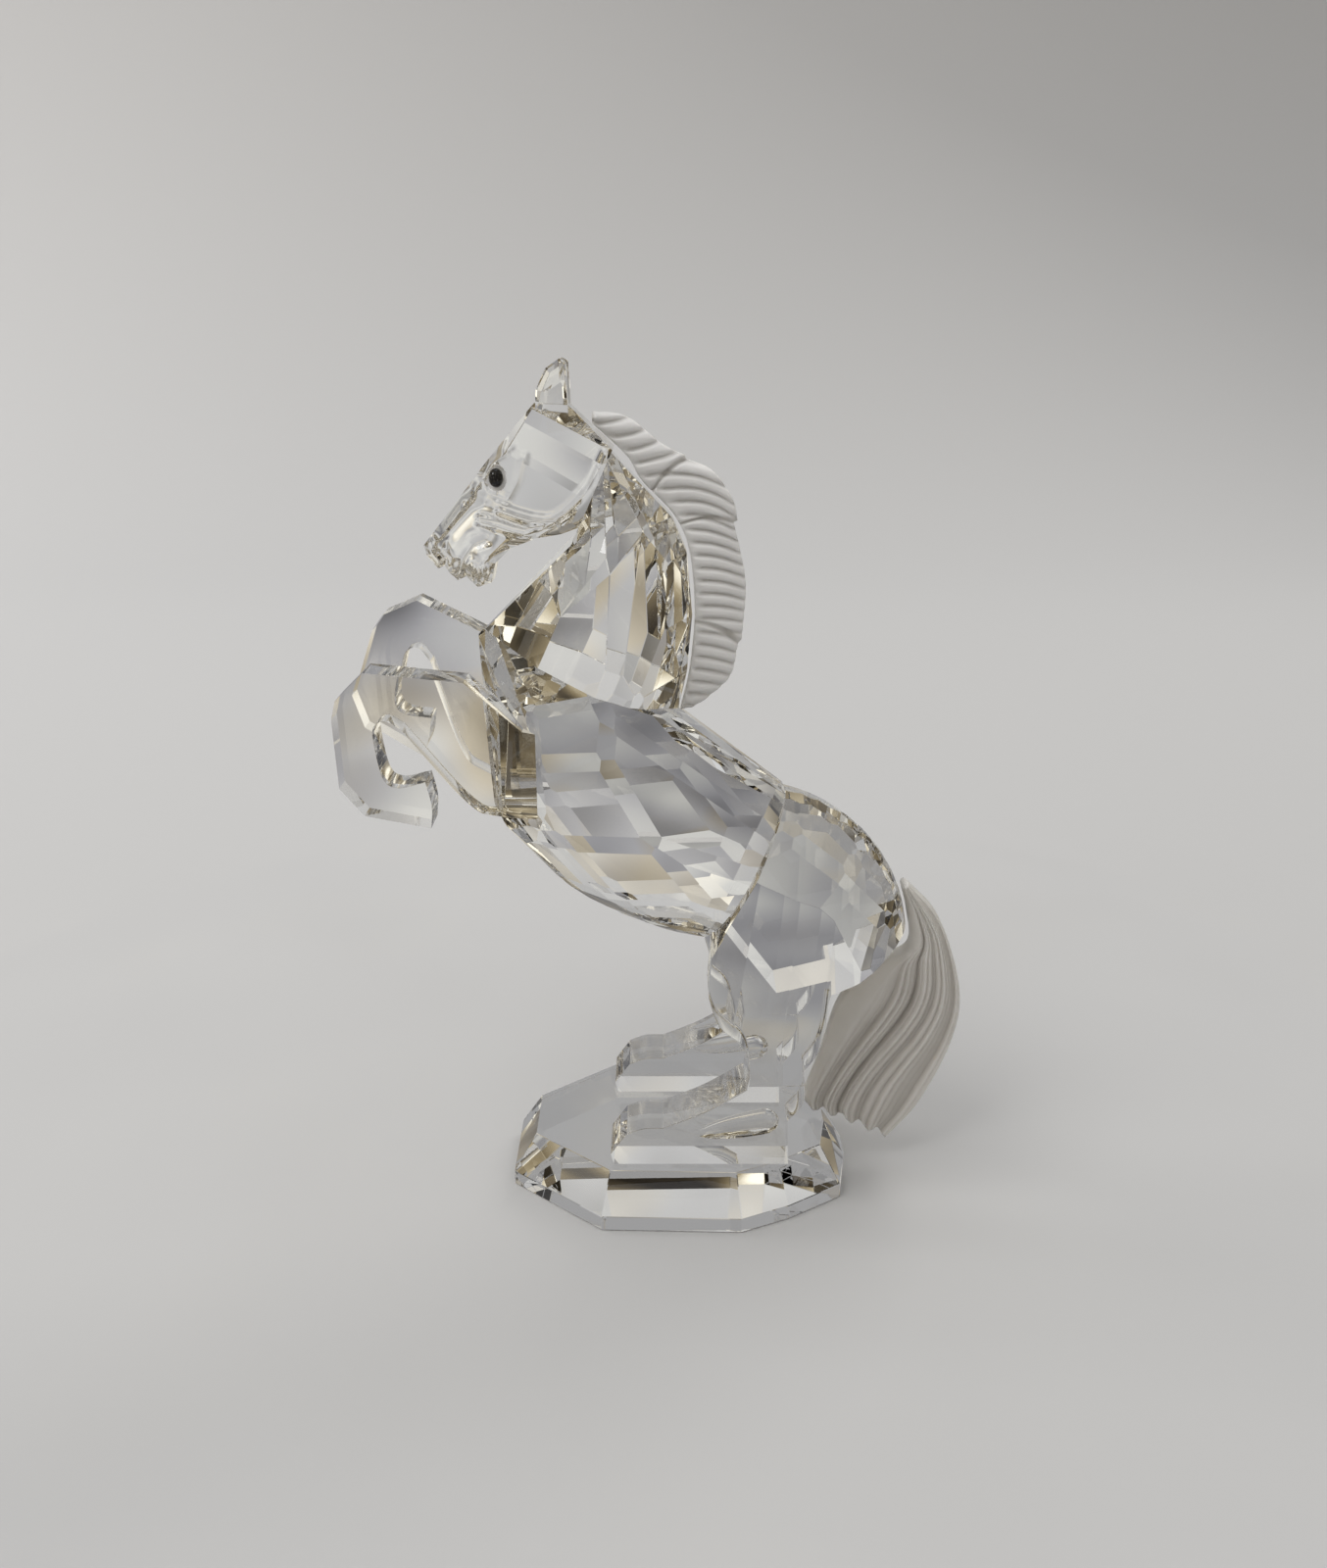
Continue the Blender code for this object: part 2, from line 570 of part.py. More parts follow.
def make_mane():
    """Four frosted locks with ribs across them, moulded in one piece along the crest."""
    crest = [at(x, z) for x, z in CREST + (POLL,)]
    glued = smooth_path(set_off(crest, 1.2 * GLUE_GAP)[::-1], 8)
    # Each lock's start and end along the crest, its ribs and its outer edge
    locks = (
        (0.00, 0.27, 6, ((-10.7, 102.0), (-6.7, 101.4), (-2.6, 98.3), (0.1, 97.0))),
        (0.27, 0.40, 5, ((0.3, 96.6), (3.4, 95.2), (5.8, 92.0), (6.5, 89.4))),
        (0.40, 0.71, 9, ((6.0, 89.2), (6.9, 85.6), (7.6, 81.4), (7.2, 74.9))),
        (0.71, 1.00, 7, ((6.8, 74.4), (5.9, 70.4), (3.4, 67.8), (1.2, 66.2))),
    )
    # The locks arch up by a share of their length, and their furrows are this deep a share
    arch_share = 0.10
    furrow = 0.30
    columns = 4
    lines = []
    ribs = []
    for start, stop, count, edge in locks:
        outer = smooth_path([at(x, z) for x, z in edge], 6)
        steps = count * 3
        for step in range(steps + 1):
            share = step / steps
            # The next lock starts just below this one's end
            root = point_on(glued, start + (stop - start) * share * 0.995)
            tip = point_on(outer, share)
            arch = Vector((0.0, 0.0, (tip - root).length * arch_share))
            lines.append([root.lerp(tip, u / columns) + arch * math.sin(math.pi * u / columns)
                          for u in range(columns + 1)])
            ribs.append(0.5 - 0.5 * math.cos(2 * math.pi * count * share))
    last = len(lines) - 1

    def half_thickness(row, column):
        rib = ribs[round(row * last)]
        edge = math.sin(math.pi * (0.12 + 0.76 * column)) ** 0.5
        return MANE_THICKNESS / 2 * edge * (1.0 - furrow + furrow * rib)

    bm = moulded_plate(lines, half_thickness)
    return make_object("mane", bm, frosted_glass())


def make_tail():
    """Frosted tail with strands along its length, moulded in one piece."""
    reach = RUMP_RADIUS / math.cos(math.pi / RUMP_FACETS) + GLUE_GAP
    root = [RUMP_CENTRE + Vector((math.cos(angle), 0.0, math.sin(angle))) * reach
            for angle in (math.radians(20.0), math.radians(9.0), math.radians(-3.0))]
    under = [at(x, z) for x, z in ((25.6, 30.4), (21.4, 24.8), (19.2, 16.8), (17.2, 10.6))]
    outer = [at(x, z) for x, z in ((29.6, 42.4), (34.2, 37.0), (37.4, 27.0), (36.8, 19.0), (33.0, 9.6))]
    # The lower edge slants past the rear edge of the plinth's table
    over_edge = Vector((PLINTH_LENGTH / 2 - CROWN_WIDTH, 0.0, PLINTH_HEIGHT + TAIL_CLEARANCE))
    slant = Vector((1.0, 0.0, -0.42)) * UNIT
    front = smooth_path(root + under + [over_edge - slant * 2.4], 5)
    back = smooth_path(outer + [over_edge + slant * 9.0], 5)
    strands = 12
    # The strands bow up by a share of their length; shares of their furrows' depth and of the
    # thinning towards both ends
    bow_share = 0.05
    furrow = 0.28
    thinning = 0.25
    rows = 18
    columns = strands * 3
    lines = []
    for row in range(rows + 1):
        share = row / rows
        root = point_on(front, share)
        tip = point_on(back, share)
        bow = Vector((0.0, 0.0, (tip - root).length * bow_share))
        lines.append([root.lerp(tip, u / columns) + bow * math.sin(math.pi * u / columns) * share
                      for u in range(columns + 1)])

    def half_thickness(row, column):
        rib = 0.5 - 0.5 * math.cos(2 * math.pi * strands * column)
        edge = math.sin(math.pi * (0.10 + 0.80 * column)) ** 0.5
        middle = 1.0 - thinning + thinning * math.sin(math.pi * row)
        return TAIL_THICKNESS / 2 * edge * middle * (1.0 - furrow + furrow * rib)

    bm = moulded_plate(lines, half_thickness)
    return make_object("tail", bm, warm_frosted_glass())


make_plinth()
make_body()
make_neck()
make_head()
make_foreleg("left_foreleg", -1, 0.0)
make_foreleg("right_foreleg", 1, 21.0)
make_hindquarters()
make_mane()
make_tail()
eye_shape("left_eye", -1)
eye_shape("right_eye", 1)
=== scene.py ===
"""Looks of a rearing horse of cut crystal with a frosted mane and tail, on a faceted plinth.

The horse looks to -X, so its left side faces the camera.  Lengths are in metres.
"""

import math

import bmesh
import bpy
from mathutils import Matrix, Vector


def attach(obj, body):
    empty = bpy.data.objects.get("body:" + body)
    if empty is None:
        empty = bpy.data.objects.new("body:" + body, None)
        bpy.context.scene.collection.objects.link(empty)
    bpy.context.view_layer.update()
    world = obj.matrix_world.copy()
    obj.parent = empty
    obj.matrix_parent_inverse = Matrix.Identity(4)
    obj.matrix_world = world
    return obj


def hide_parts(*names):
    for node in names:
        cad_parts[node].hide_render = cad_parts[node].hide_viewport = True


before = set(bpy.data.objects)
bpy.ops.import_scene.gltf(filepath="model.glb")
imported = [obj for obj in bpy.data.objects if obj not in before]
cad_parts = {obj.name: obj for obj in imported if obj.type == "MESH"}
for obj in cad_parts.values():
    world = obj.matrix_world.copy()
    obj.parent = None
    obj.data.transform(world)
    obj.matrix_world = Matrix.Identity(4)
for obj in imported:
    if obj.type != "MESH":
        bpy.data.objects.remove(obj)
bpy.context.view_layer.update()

# The two sides of the horse, by the sign of Y
LEFT, RIGHT = SIDES = (-1.0, 1.0)
MILLIMETRE = 0.001
CRYSTAL_IOR = 1.54
# Corners nearer to each other than this become one
MERGE_DISTANCE = 0.000001
# How near to a cutting plane a corner counts as on it
PLANE_TOLERANCE = 1e-7
# Half the room for glue between two pieces
HALF_GLUE_GAP = 0.00015
# How wide the edges between flat facets are polished off
EDGE_POLISH = 0.00006


# Materials

def new_group(name, inputs, outputs):
    """An empty node group; its inputs are given as name, type and default, its outputs without."""
    group = bpy.data.node_groups.new(name, "ShaderNodeTree")
    for socket, kind, default in inputs:
        made = group.interface.new_socket(socket, in_out="INPUT", socket_type=kind)
        made.default_value = default
    for socket, kind in outputs:
        group.interface.new_socket(socket, in_out="OUTPUT", socket_type=kind)
    group.nodes.new("NodeGroupInput")
    group.nodes.new("NodeGroupOutput")
    return group


def feed(tree, socket, value):
    """Set a socket to a number or a colour, or link it to another socket."""
    if isinstance(value, (float, tuple)):
        socket.default_value = value
    else:
        tree.links.new(value, socket)


def noise(tree, place, scale, detail):
    """A noise texture at a place."""
    node = tree.nodes.new("ShaderNodeTexNoise")
    node.inputs["Detail"].default_value = detail
    tree.links.new(place, node.inputs["Vector"])
    feed(tree, node.inputs["Scale"], scale)
    return node.outputs["Fac"]


def map_range(tree, value, start, stop, low=0.0, high=1.0):
    """A value from low to high, by how far another lies from start to stop."""
    node = tree.nodes.new("ShaderNodeMapRange")
    tree.links.new(value, node.inputs["Value"])
    for name, bound in (("From Min", start), ("From Max", stop), ("To Min", low), ("To Max", high)):
        feed(tree, node.inputs[name], bound)
    return node.outputs["Result"]


def blend_colours(tree, factor, first, second):
    """A colour between two others."""
    node = tree.nodes.new("ShaderNodeMix")
    node.data_type = "RGBA"
    tree.links.new(factor, node.inputs["Factor"])
    ends = [socket for socket in node.inputs if socket.type == "RGBA"]
    for socket, value in zip(ends, (first, second)):
        feed(tree, socket, value)
    return next(socket for socket in node.outputs if socket.type == "RGBA")


def colour_ramp(tree, factor, stops):
    """Colours that follow each other as a factor grows."""
    ramp = tree.nodes.new("ShaderNodeValToRGB")
    tree.links.new(factor, ramp.inputs["Fac"])
    elements = ramp.color_ramp.elements
    while len(elements) < len(stops):
        elements.new(0.5)
    for element, (position, colour) in zip(elements, stops):
        element.position = position
        element.color = colour + (1.0,)
    return ramp.outputs["Color"]


def split_axes(tree, place):
    """A place's three parts, by the axes' names."""
    node = tree.nodes.new("ShaderNodeSeparateXYZ")
    tree.links.new(place, node.inputs["Vector"])
    return node.outputs


def make_polish_group():
    """Ground and polished glass: faint streaks in the glass and the polisher's fine marks."""
    group = new_group(
        "polish",
        (("Clear", "NodeSocketColor", (1.0, 1.0, 1.0, 1.0)),
         ("Tinted", "NodeSocketColor", (1.0, 1.0, 1.0, 1.0)),
         ("Streak Scale", "NodeSocketFloat", 120.0),
         ("Mark Scale", "NodeSocketFloat", 900.0),
         ("Smoothest", "NodeSocketFloat", 0.0),
         ("Roughest", "NodeSocketFloat", 0.0)),
        (("Color", "NodeSocketColor"), ("Roughness", "NodeSocketFloat"), ("Height", "NodeSocketFloat")))
    source = group.nodes["Group Input"].outputs
    place = group.nodes.new("ShaderNodeTexCoord").outputs["Object"]
    streaks = noise(group, place, source["Streak Scale"], 1.0)
    marks = noise(group, place, source["Mark Scale"], 3.0)
    target = group.nodes["Group Output"].inputs
    group.links.new(blend_colours(group, streaks, source["Clear"], source["Tinted"]), target["Color"])
    roughness = map_range(group, marks, 0.0, 1.0, source["Smoothest"], source["Roughest"])
    group.links.new(roughness, target["Roughness"])
    group.links.new(marks, target["Height"])
    return group


POLISH = make_polish_group()


def new_material(name):
    """A material with its Principled shader."""
    made = bpy.data.materials.new(name)
    made.use_nodes = True
    return made, made.node_tree, made.node_tree.nodes["Principled BSDF"]


def make_glass(name, transmission, bump_depth, values):
    """A kind of glass and its finish, from the polish group with some of its values changed."""
    material, tree, shader = new_material(name)
    shader.inputs["IOR"].default_value = CRYSTAL_IOR
    shader.inputs["Transmission Weight"].default_value = transmission
    finish = tree.nodes.new("ShaderNodeGroup")
    finish.node_tree = POLISH
    for socket, value in values.items():
        finish.inputs[socket].default_value = value
    bump = tree.nodes.new("ShaderNodeBump")
    bump.inputs["Distance"].default_value = bump_depth
    tree.links.new(finish.outputs["Color"], shader.inputs["Base Color"])
    tree.links.new(finish.outputs["Roughness"], shader.inputs["Roughness"])
    tree.links.new(finish.outputs["Height"], bump.inputs["Height"])
    tree.links.new(bump.outputs["Normal"], shader.inputs["Normal"])
    return material, finish


def make_frost(name, light, dark, hollow, roughness):
    """Frosted glass with a fine satin grain, and painted shade that darkens it where the piece's relief
    is hollow.
    """
    material, finish = make_glass(name, 0.2, 0.00002, {
        "Clear": light, "Tinted": dark, "Streak Scale": 400.0, "Mark Scale": 9000.0,
        "Smoothest": roughness - 0.08, "Roughest": roughness + 0.08})
    tree = material.node_tree
    shader = tree.nodes["Principled BSDF"]
    shader.inputs["Subsurface Weight"].default_value = 1.0
    shader.inputs["Subsurface Radius"].default_value = (1.0, 1.0, 1.0)
    shader.inputs["Subsurface Scale"].default_value = 0.0007
    # The hollow colour is painted shade, laid on where the relief is hollow
    relief = tree.nodes.new("ShaderNodeAttribute")
    relief.attribute_name = "hollow"
    tree.links.new(blend_colours(tree, relief.outputs["Fac"], finish.outputs["Color"], hollow),
                   shader.inputs["Base Color"])
    return material


# Polished clear crystal
crystal, _ = make_glass("clear_crystal", 1.0, 0.0000002, {
    "Clear": (0.995, 0.99, 0.98, 1.0), "Tinted": (0.97, 0.965, 0.95, 1.0)})
# Crystal left as the drill leaves it, in the dish round each eye
ground, _ = make_glass("ground_crystal", 0.0, 0.00001, {
    "Clear": (1.0, 1.0, 1.0, 1.0), "Tinted": (0.92, 0.92, 0.91, 1.0), "Mark Scale": 6000.0,
    "Smoothest": 0.35, "Roughest": 0.5})
# Glossy black glass with a faint grey bloom
bead, _ = make_glass("black_bead", 0.0, 0.0000002, {
    "Clear": (0.006, 0.006, 0.008, 1.0), "Tinted": (0.02, 0.02, 0.022, 1.0),
    "Streak Scale": 1500.0, "Smoothest": 0.02, "Roughest": 0.08})
# The third colour of each frost is painted shade for the hollows of its relief
mane_frost = make_frost("cool_frosted_glass", (0.97, 0.97, 0.97, 1.0), (0.91, 0.91, 0.91, 1.0),
                        (0.72, 0.71, 0.69, 1.0), 0.42)
tail_frost = make_frost("warm_frosted_glass", (0.90, 0.88, 0.85, 1.0), (0.80, 0.78, 0.74, 1.0),
                        (0.46, 0.43, 0.39, 1.0), 0.38)


# Pieces

def mm(x, z, y=0.0):
    """A point of the horse in millimetres, as its place seen from the side and its depth."""
    return Vector((x, y, z)) * MILLIMETRE


def merge(bm):
    """Make one corner of those that lie in the same place."""
    bmesh.ops.remove_doubles(bm, verts=bm.verts[:], dist=MERGE_DISTANCE)


def move(bm, way):
    """Move a whole shape."""
    bmesh.ops.translate(bm, verts=bm.verts[:], vec=way)


def tilt(bm, centre, degrees):
    """Turn a whole shape about a point, as seen from the side."""
    bmesh.ops.rotate(bm, verts=bm.verts[:], cent=centre,
                     matrix=Matrix.Rotation(math.radians(degrees), 3, "Y"))


def shade_smooth(bm):
    """Shade every face as part of a round surface."""
    for face in bm.faces:
        face.smooth = True


def in_order(rough):
    """The same shape, its corners and faces in an order that is the same in every run."""
    corners = sorted(rough.verts, key=lambda vert: vert.co[:])
    number = {vert: index for index, vert in enumerate(corners)}
    loops = []
    for face in rough.faces:
        loop = [number[vert] for vert in face.verts]
        start = loop.index(min(loop))
        loops.append(loop[start:] + loop[:start])
    bm = bmesh.new()
    made = [bm.verts.new(vert.co) for vert in corners]
    for loop in sorted(loops):
        bm.faces.new([made[index] for index in loop])
    bm.normal_update()
    rough.free()
    return bm


def ball(segments, radius):
    """A ball, whose corners Blender gives in another order each time."""
    bm = bmesh.new()
    bmesh.ops.create_uvsphere(bm, u_segments=segments, v_segments=segments // 2, radius=radius)
    return in_order(bm)


def link_mesh(name, bm, materials=()):
    """Make an object of a bmesh, which is used up."""
    mesh = bpy.data.meshes.new(name)
    bm.to_mesh(mesh)
    bm.free()
    for material in materials:
        mesh.materials.append(material)
    made = bpy.data.objects.new(name, mesh)
    bpy.context.scene.collection.objects.link(made)
    return made


def apply_modifiers(shapes):
    """The first of some objects as its modifiers leave it; the objects go."""
    bpy.context.view_layer.update()
    bm = bmesh.new()
    bm.from_object(shapes[0], bpy.context.evaluated_depsgraph_get())
    for shape in shapes:
        bpy.data.objects.remove(shape, do_unlink=True)
    return bm


def add_piece(name, bm, materials, node):
    """Make an object of a bmesh that stands for a CAD node and has its finish."""
    piece = link_mesh(name, bm, materials)
    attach(piece, "root")
    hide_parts(node)


def merged_copy(node):
    """A node's solid as one skin of flat facets."""
    bm = bmesh.new()
    bm.from_mesh(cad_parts[node].data)
    merge(bm)
    bmesh.ops.dissolve_limit(bm, angle_limit=math.radians(0.4), use_dissolve_boundaries=False,
                             verts=bm.verts[:], edges=bm.edges[:])
    return bm


def polish_edges(bm):
    """Take the keenness off the edges between flat facets."""
    rounded = {vert for face in bm.faces if face.smooth for vert in face.verts}
    edges = [edge for edge in bm.edges if edge.calc_face_angle(0.0) > math.radians(3.0)
             and not rounded.intersection(edge.verts)]
    bmesh.ops.bevel(bm, geom=edges, offset=EDGE_POLISH, offset_type="OFFSET", segments=1,
                    profile=0.5, affect="EDGES", clamp_overlap=True, material=-1)


def cut(bm, point, outward):
    """Grind one flat facet: what lies outward of the plane goes."""
    geometry = bm.verts[:] + bm.edges[:] + bm.faces[:]
    result = bmesh.ops.bisect_plane(
        bm, geom=geometry, dist=PLANE_TOLERANCE, plane_co=point, plane_no=outward, clear_outer=True)
    rim = [item for item in result["geom_cut"] if isinstance(item, bmesh.types.BMEdge)]
    if len(rim) > 2:
        bmesh.ops.edgeloop_fill(bm, edges=rim)


def cut_joint(bm, point, inward):
    """Grind the flat of a glued joint, short of the joint's plane by half the room for glue."""
    inward = Vector(inward).normalized()
    cut(bm, point + inward * HALF_GLUE_GAP, -inward)


def cut_through(bm, inside, first, second, third):
    """Grind the facet that passes through three corners, away from a point inside."""
    normal = (second - first).cross(third - first).normalized()
    if normal.dot(inside - first) > 0.0:
        normal.negate()
    cut(bm, first, normal)


def plate(outline, half_thickness, rim_width, rim_drop):
    """A flat piece with a ground rim, from its outline seen from the side in millimetres."""
    bm = bmesh.new()
    face = bm.faces.new([bm.verts.new(mm(x, z)) for x, z in outline])
    back = bmesh.ops.extrude_face_region(bm, geom=[face])
    far_face = next(item for item in back["geom"] if isinstance(item, bmesh.types.BMFace))
    for flat, side in ((face, LEFT), (far_face, RIGHT)):
        for vert in flat.verts:
            vert.co.y = side
    bmesh.ops.recalc_face_normals(bm, faces=bm.faces[:])
    flats = [item for item in bm.faces if abs(item.normal.y) > 0.9]
    for flat in flats:
        bmesh.ops.inset_region(bm, faces=[flat], thickness=rim_width, use_even_offset=True)
    inner = {vert for flat in flats for vert in flat.verts}
    for vert in bm.verts:
        side = math.copysign(1.0, vert.co.y)
        vert.co.y = side * (half_thickness(vert.co) - (0.0 if vert in inner else rim_drop))
    return in_order(bm)


def combine(bm, other, operation):
    """Join a shape to another, or cut it out."""
    pair = []
    for shape in (bm, other):
        bmesh.ops.recalc_face_normals(shape, faces=shape.faces[:])
        pair.append(link_mesh("shape", shape))
    boolean = pair[0].modifiers.new("boolean", "BOOLEAN")
    boolean.operation = operation
    boolean.solver = "EXACT"
    boolean.object = pair[1]
    return apply_modifiers(pair)


def mark_sharp(bm, degrees):
    """Let the shading break at the edges that turn by more than an angle."""
    for edge in bm.edges:
        edge.smooth = edge.calc_face_angle(0.0) < math.radians(degrees)


def grid_sides(bm, low, high, spacing):
    """Cut the faces that look sideways into a fine grid between two corners seen from the side."""
    for axis in (0, 2):
        normal = Vector((0.0, 0.0, 0.0))
        normal[axis] = 1.0
        steps = int((high[axis] - low[axis]) / spacing)
        for step in range(steps + 1):
            plane = low[axis] + step * spacing
            faces = [face for face in bm.faces if abs(face.normal.y) > 0.3
                     and min(vert.co[axis] for vert in face.verts) < plane
                     and max(vert.co[axis] for vert in face.verts) > plane
                     and low[2 - axis] <= face.calc_center_median()[2 - axis] <= high[2 - axis]]
            if faces:
                edges = dict.fromkeys(edge for face in faces for edge in face.edges)
                verts = dict.fromkeys(vert for face in faces for vert in face.verts)
                bmesh.ops.bisect_plane(bm, geom=list(verts) + list(edges) + faces,
                                       dist=PLANE_TOLERANCE, plane_co=normal * plane,
                                       plane_no=normal)


def distance_to(point, stroke):
    """How far a point lies from a line of points, seen from the side."""
    nearest = 1.0
    for start, stop in zip(stroke, stroke[1:]):
        along = stop - start
        share = max(0.0, min(1.0, (point - start).dot(along) / along.length_squared))
        nearest = min(nearest, (point - start - along * share).length)
    return nearest


def carve(bm, strokes, thinnest):
    """Hollow both sides of a piece along strokes, each with a depth, a width and its points."""
    lines = [(depth * MILLIMETRE, width * MILLIMETRE, [mm(x, z) for x, z in points])
             for depth, width, points in strokes]
    for vert in bm.verts:
        flat = Vector((vert.co.x, 0.0, vert.co.z))
        depth = 0.0
        for deep, width, stroke in lines:
            away = distance_to(flat, stroke)
            if away < 2.5 * width:
                depth += deep * math.exp(-(away / width) ** 2)
        if depth > 0.00001 and abs(vert.co.y) > thinnest:
            vert.co.y = math.copysign(max(abs(vert.co.y) - depth, thinnest), vert.co.y)


def grind_edges(bm, low, high, depth_per_degree):
    """Grind a long facet along each edge of a convex piece that turns between two angles."""
    planes = []
    for edge in bm.edges:
        turn = math.degrees(edge.calc_face_angle(0.0))
        if low < turn < high:
            normal = sum((face.normal for face in edge.link_faces), Vector()).normalized()
            middle = (edge.verts[0].co + edge.verts[1].co) / 2
            planes.append((middle - normal * (depth_per_degree * turn), normal))
    for point, normal in planes:
        cut(bm, point, normal)


def cut_glass(node):
    """A crystal piece as the CAD has it, with polished edges; the body's get narrow facets first."""
    bm = merged_copy(node)
    if node == "body":
        grind_edges(bm, 6.0, 50.0, 0.0000100)
    polish_edges(bm)
    add_piece(node + "_glass", bm, [crystal], node)


HEAD_PROFILE = (
    (-8.3, 97.8), (-11.4, 100.9), (-13.5, 102.9), (-17.3, 103.1), (-22.9, 96.7), (-31.1, 86.6),
    (-30.8, 85.4), (-29.5, 83.8), (-28.7, 84.2), (-28.2, 83.3), (-27.2, 82.4), (-26.2, 82.9),
    (-24.8, 81.6), (-23.1, 82.2), (-22.6, 84.5), (-20.6, 86.4), (-17.4, 87.6), (-14.6, 88.1),
    (-12.4, 88.9))
# Half the head's width at the cheeks, and what it loses per length towards the muzzle
CHEEK_HALF_WIDTH = 0.0050
HEAD_TAPER = 0.085
# The same for an ear, from its foot up, and how far it stands from the middle
EAR_HALF_WIDTH = 0.0017
EAR_TAPER = 0.13
EAR_FOOT = 0.102
EAR_SPREAD = 0.0025
# The width of the ground rim, and how much lower its outer edge is
HEAD_RIM = (0.0010, 0.0014)
EAR_RIM = (0.0007, 0.00055)
# The spacing of the corners that the carving moves
CARVING_GRID = 0.00020
THINNEST_CARVING = 0.0008
# The far eye is a little further down the nose, so that the near one hides it
EYE_PLACES = {LEFT: (-21.85, 94.8), RIGHT: (-22.31, 94.42)}
# The eyes' shapes, each by its length, depth and height
EYE_BEAD = (0.0017, 0.0016, 0.0022)
EYE_SOCKET = (0.0018, 0.0017, 0.0023)
EYE_DISH = (0.0025, 0.0007, 0.0031)


def head_half_width(point):
    """Half the head's width: it tapers from the cheeks to the muzzle."""
    from_cheeks = max((point - mm(-9.5, 97.0)).dot(Vector((-0.80, 0.0, -0.60))), 0.0)
    return CHEEK_HALF_WIDTH - HEAD_TAPER * from_cheeks


def ear_half_width(point):
    """Half an ear's thickness: it thins towards the tip."""
    return EAR_HALF_WIDTH - EAR_TAPER * (point.z - EAR_FOOT)


def eye_centre(side):
    """The middle of an eye, on the flat of the head's side."""
    centre = mm(*EYE_PLACES[side])
    centre.y = side * head_half_width(centre)
    return centre


def make_ear(side):
    """One ear, with a facet down its outer side."""
    outline = ((-17.1, 102.4), (-17.0, 104.6), (-15.9, 106.9), (-14.3, 108.0), (-13.6, 107.6),
               (-13.4, 102.0))
    bm = plate(outline, ear_half_width, *EAR_RIM)
    move(bm, (0.0, side * EAR_SPREAD, 0.0))
    bmesh.ops.recalc_face_normals(bm, faces=bm.faces[:])
    cut_through(bm, mm(-15.2, 105.0, side * 2.5), mm(-17.0, 103.9, side * 3.95),
                mm(-13.4, 106.3, side * 3.64), mm(-14.6, 102.2, side * 3.3))
    return bm


def eye_shape(side, size, segments):
    """An oval shape standing in the head's side: a bead, its socket or the dish round it."""
    bm = ball(segments, 0.5)
    bmesh.ops.scale(bm, verts=bm.verts[:], vec=size)
    move(bm, eye_centre(side))
    return bm


def make_head():
    """Head with its ears, the eyes' sockets, cheek facets, and the carved jaw, nose and mouth."""
    bm = plate(HEAD_PROFILE, head_half_width, *HEAD_RIM)
    cut_joint(bm, mm(-10.4, 93.0), (-0.908, 0.0, 0.418))
    inside = mm(-17.0, 95.0)
    for side in SIDES:
        cut_through(bm, inside, mm(-18.3, 96.3, side * 4.37), mm(-12.2, 92.7, side * 4.60),
                    mm(-9.9, 96.5, side * 4.15))
        cut_through(bm, inside, mm(-16.3, 99.8, side * 4.0), mm(-9.9, 96.5, side * 4.15),
                    mm(-8.3, 98.4, side * 2.9))
    for side in SIDES:
        bm = combine(bm, make_ear(side), "UNION")
        bm = combine(bm, eye_shape(side, EYE_SOCKET, 96), "DIFFERENCE")
        bm = combine(bm, eye_shape(side, EYE_DISH, 96), "DIFFERENCE")
    merge(bm)
    shade_smooth(bm)
    mark_sharp(bm, 5.0)
    grid_sides(bm, mm(-31.0, 81.7), mm(-9.8, 98.5), CARVING_GRID)
    carve(bm, (
        # Under the cheek, and below it
        (0.50, 0.42, ((-21.7, 91.0), (-19.8, 90.3), (-18.0, 89.8), (-16.4, 89.6), (-15.2, 89.8),
                      (-13.8, 90.7), (-12.2, 92.2), (-10.8, 94.0), (-9.9, 95.8))),
        (0.45, 0.36, ((-24.1, 89.5), (-22.1, 89.0), (-20.3, 88.4), (-18.5, 88.0), (-17.1, 88.6),
                      (-15.2, 89.4))),
        # Side of the nose
        (0.42, 1.15, ((-23.6, 91.4), (-24.9, 90.9), (-26.4, 89.4), (-27.9, 87.8))),
        # Border of the eye's flat
        (0.12, 0.35, ((-20.6, 97.5), (-22.8, 96.2), (-23.6, 94.3), (-23.1, 93.0), (-20.7, 92.1),
                      (-19.4, 94.3), (-18.9, 96.6))),
        # Mouth, nostril and the furrows of the chin
        (0.50, 0.55, ((-27.2, 83.3), (-26.3, 85.0), (-25.0, 86.8), (-23.4, 87.4))),
        (0.45, 0.38, ((-28.9, 85.9), (-28.3, 84.9))),
        (0.22, 0.22, ((-25.0, 84.6), (-25.5, 82.6))),
        (0.22, 0.22, ((-24.6, 84.3), (-24.7, 82.2))),
        (0.22, 0.22, ((-24.1, 84.3), (-23.8, 82.4))),
        (0.22, 0.22, ((-23.8, 84.7), (-23.0, 83.3))),
    ), THINNEST_CARVING)
    # The dish round each eye stays ground
    for side in SIDES:
        centre = eye_centre(side)
        for face in bm.faces:
            from_centre = face.calc_center_median() - centre
            share = [2.0 * part / full for part, full in zip(from_centre, EYE_DISH)]
            if Vector(share).length < 1.02:
                face.material_index = 1
    add_piece("head_glass", bm, [crystal, ground], "head")


def make_eyes():
    """The two beads, round instead of the CAD's many flats."""
    for name, side in (("left_eye", LEFT), ("right_eye", RIGHT)):
        bm = eye_shape(side, EYE_BEAD, 48)
        shade_smooth(bm)
        add_piece(name + "_bead", bm, [bead], name)


def smooth_path(points, steps):
    """Points along a smooth curve through the given ones, steps to each stretch."""
    ends = [points[0] * 2 - points[1]] + list(points) + [points[-1] * 2 - points[-2]]
    path = []
    for index in range(1, len(ends) - 2):
        before, start, stop, after = ends[index - 1:index + 3]
        for step in range(steps):
            t = step / steps
            path.append(0.5 * (start * 2 + (stop - before) * t
                               + (before * 2 - start * 5 + stop * 4 - after) * t ** 2
                               + (start * 3 - before - stop * 3 + after) * t ** 3))
    path.append(Vector(points[-1]))
    return path


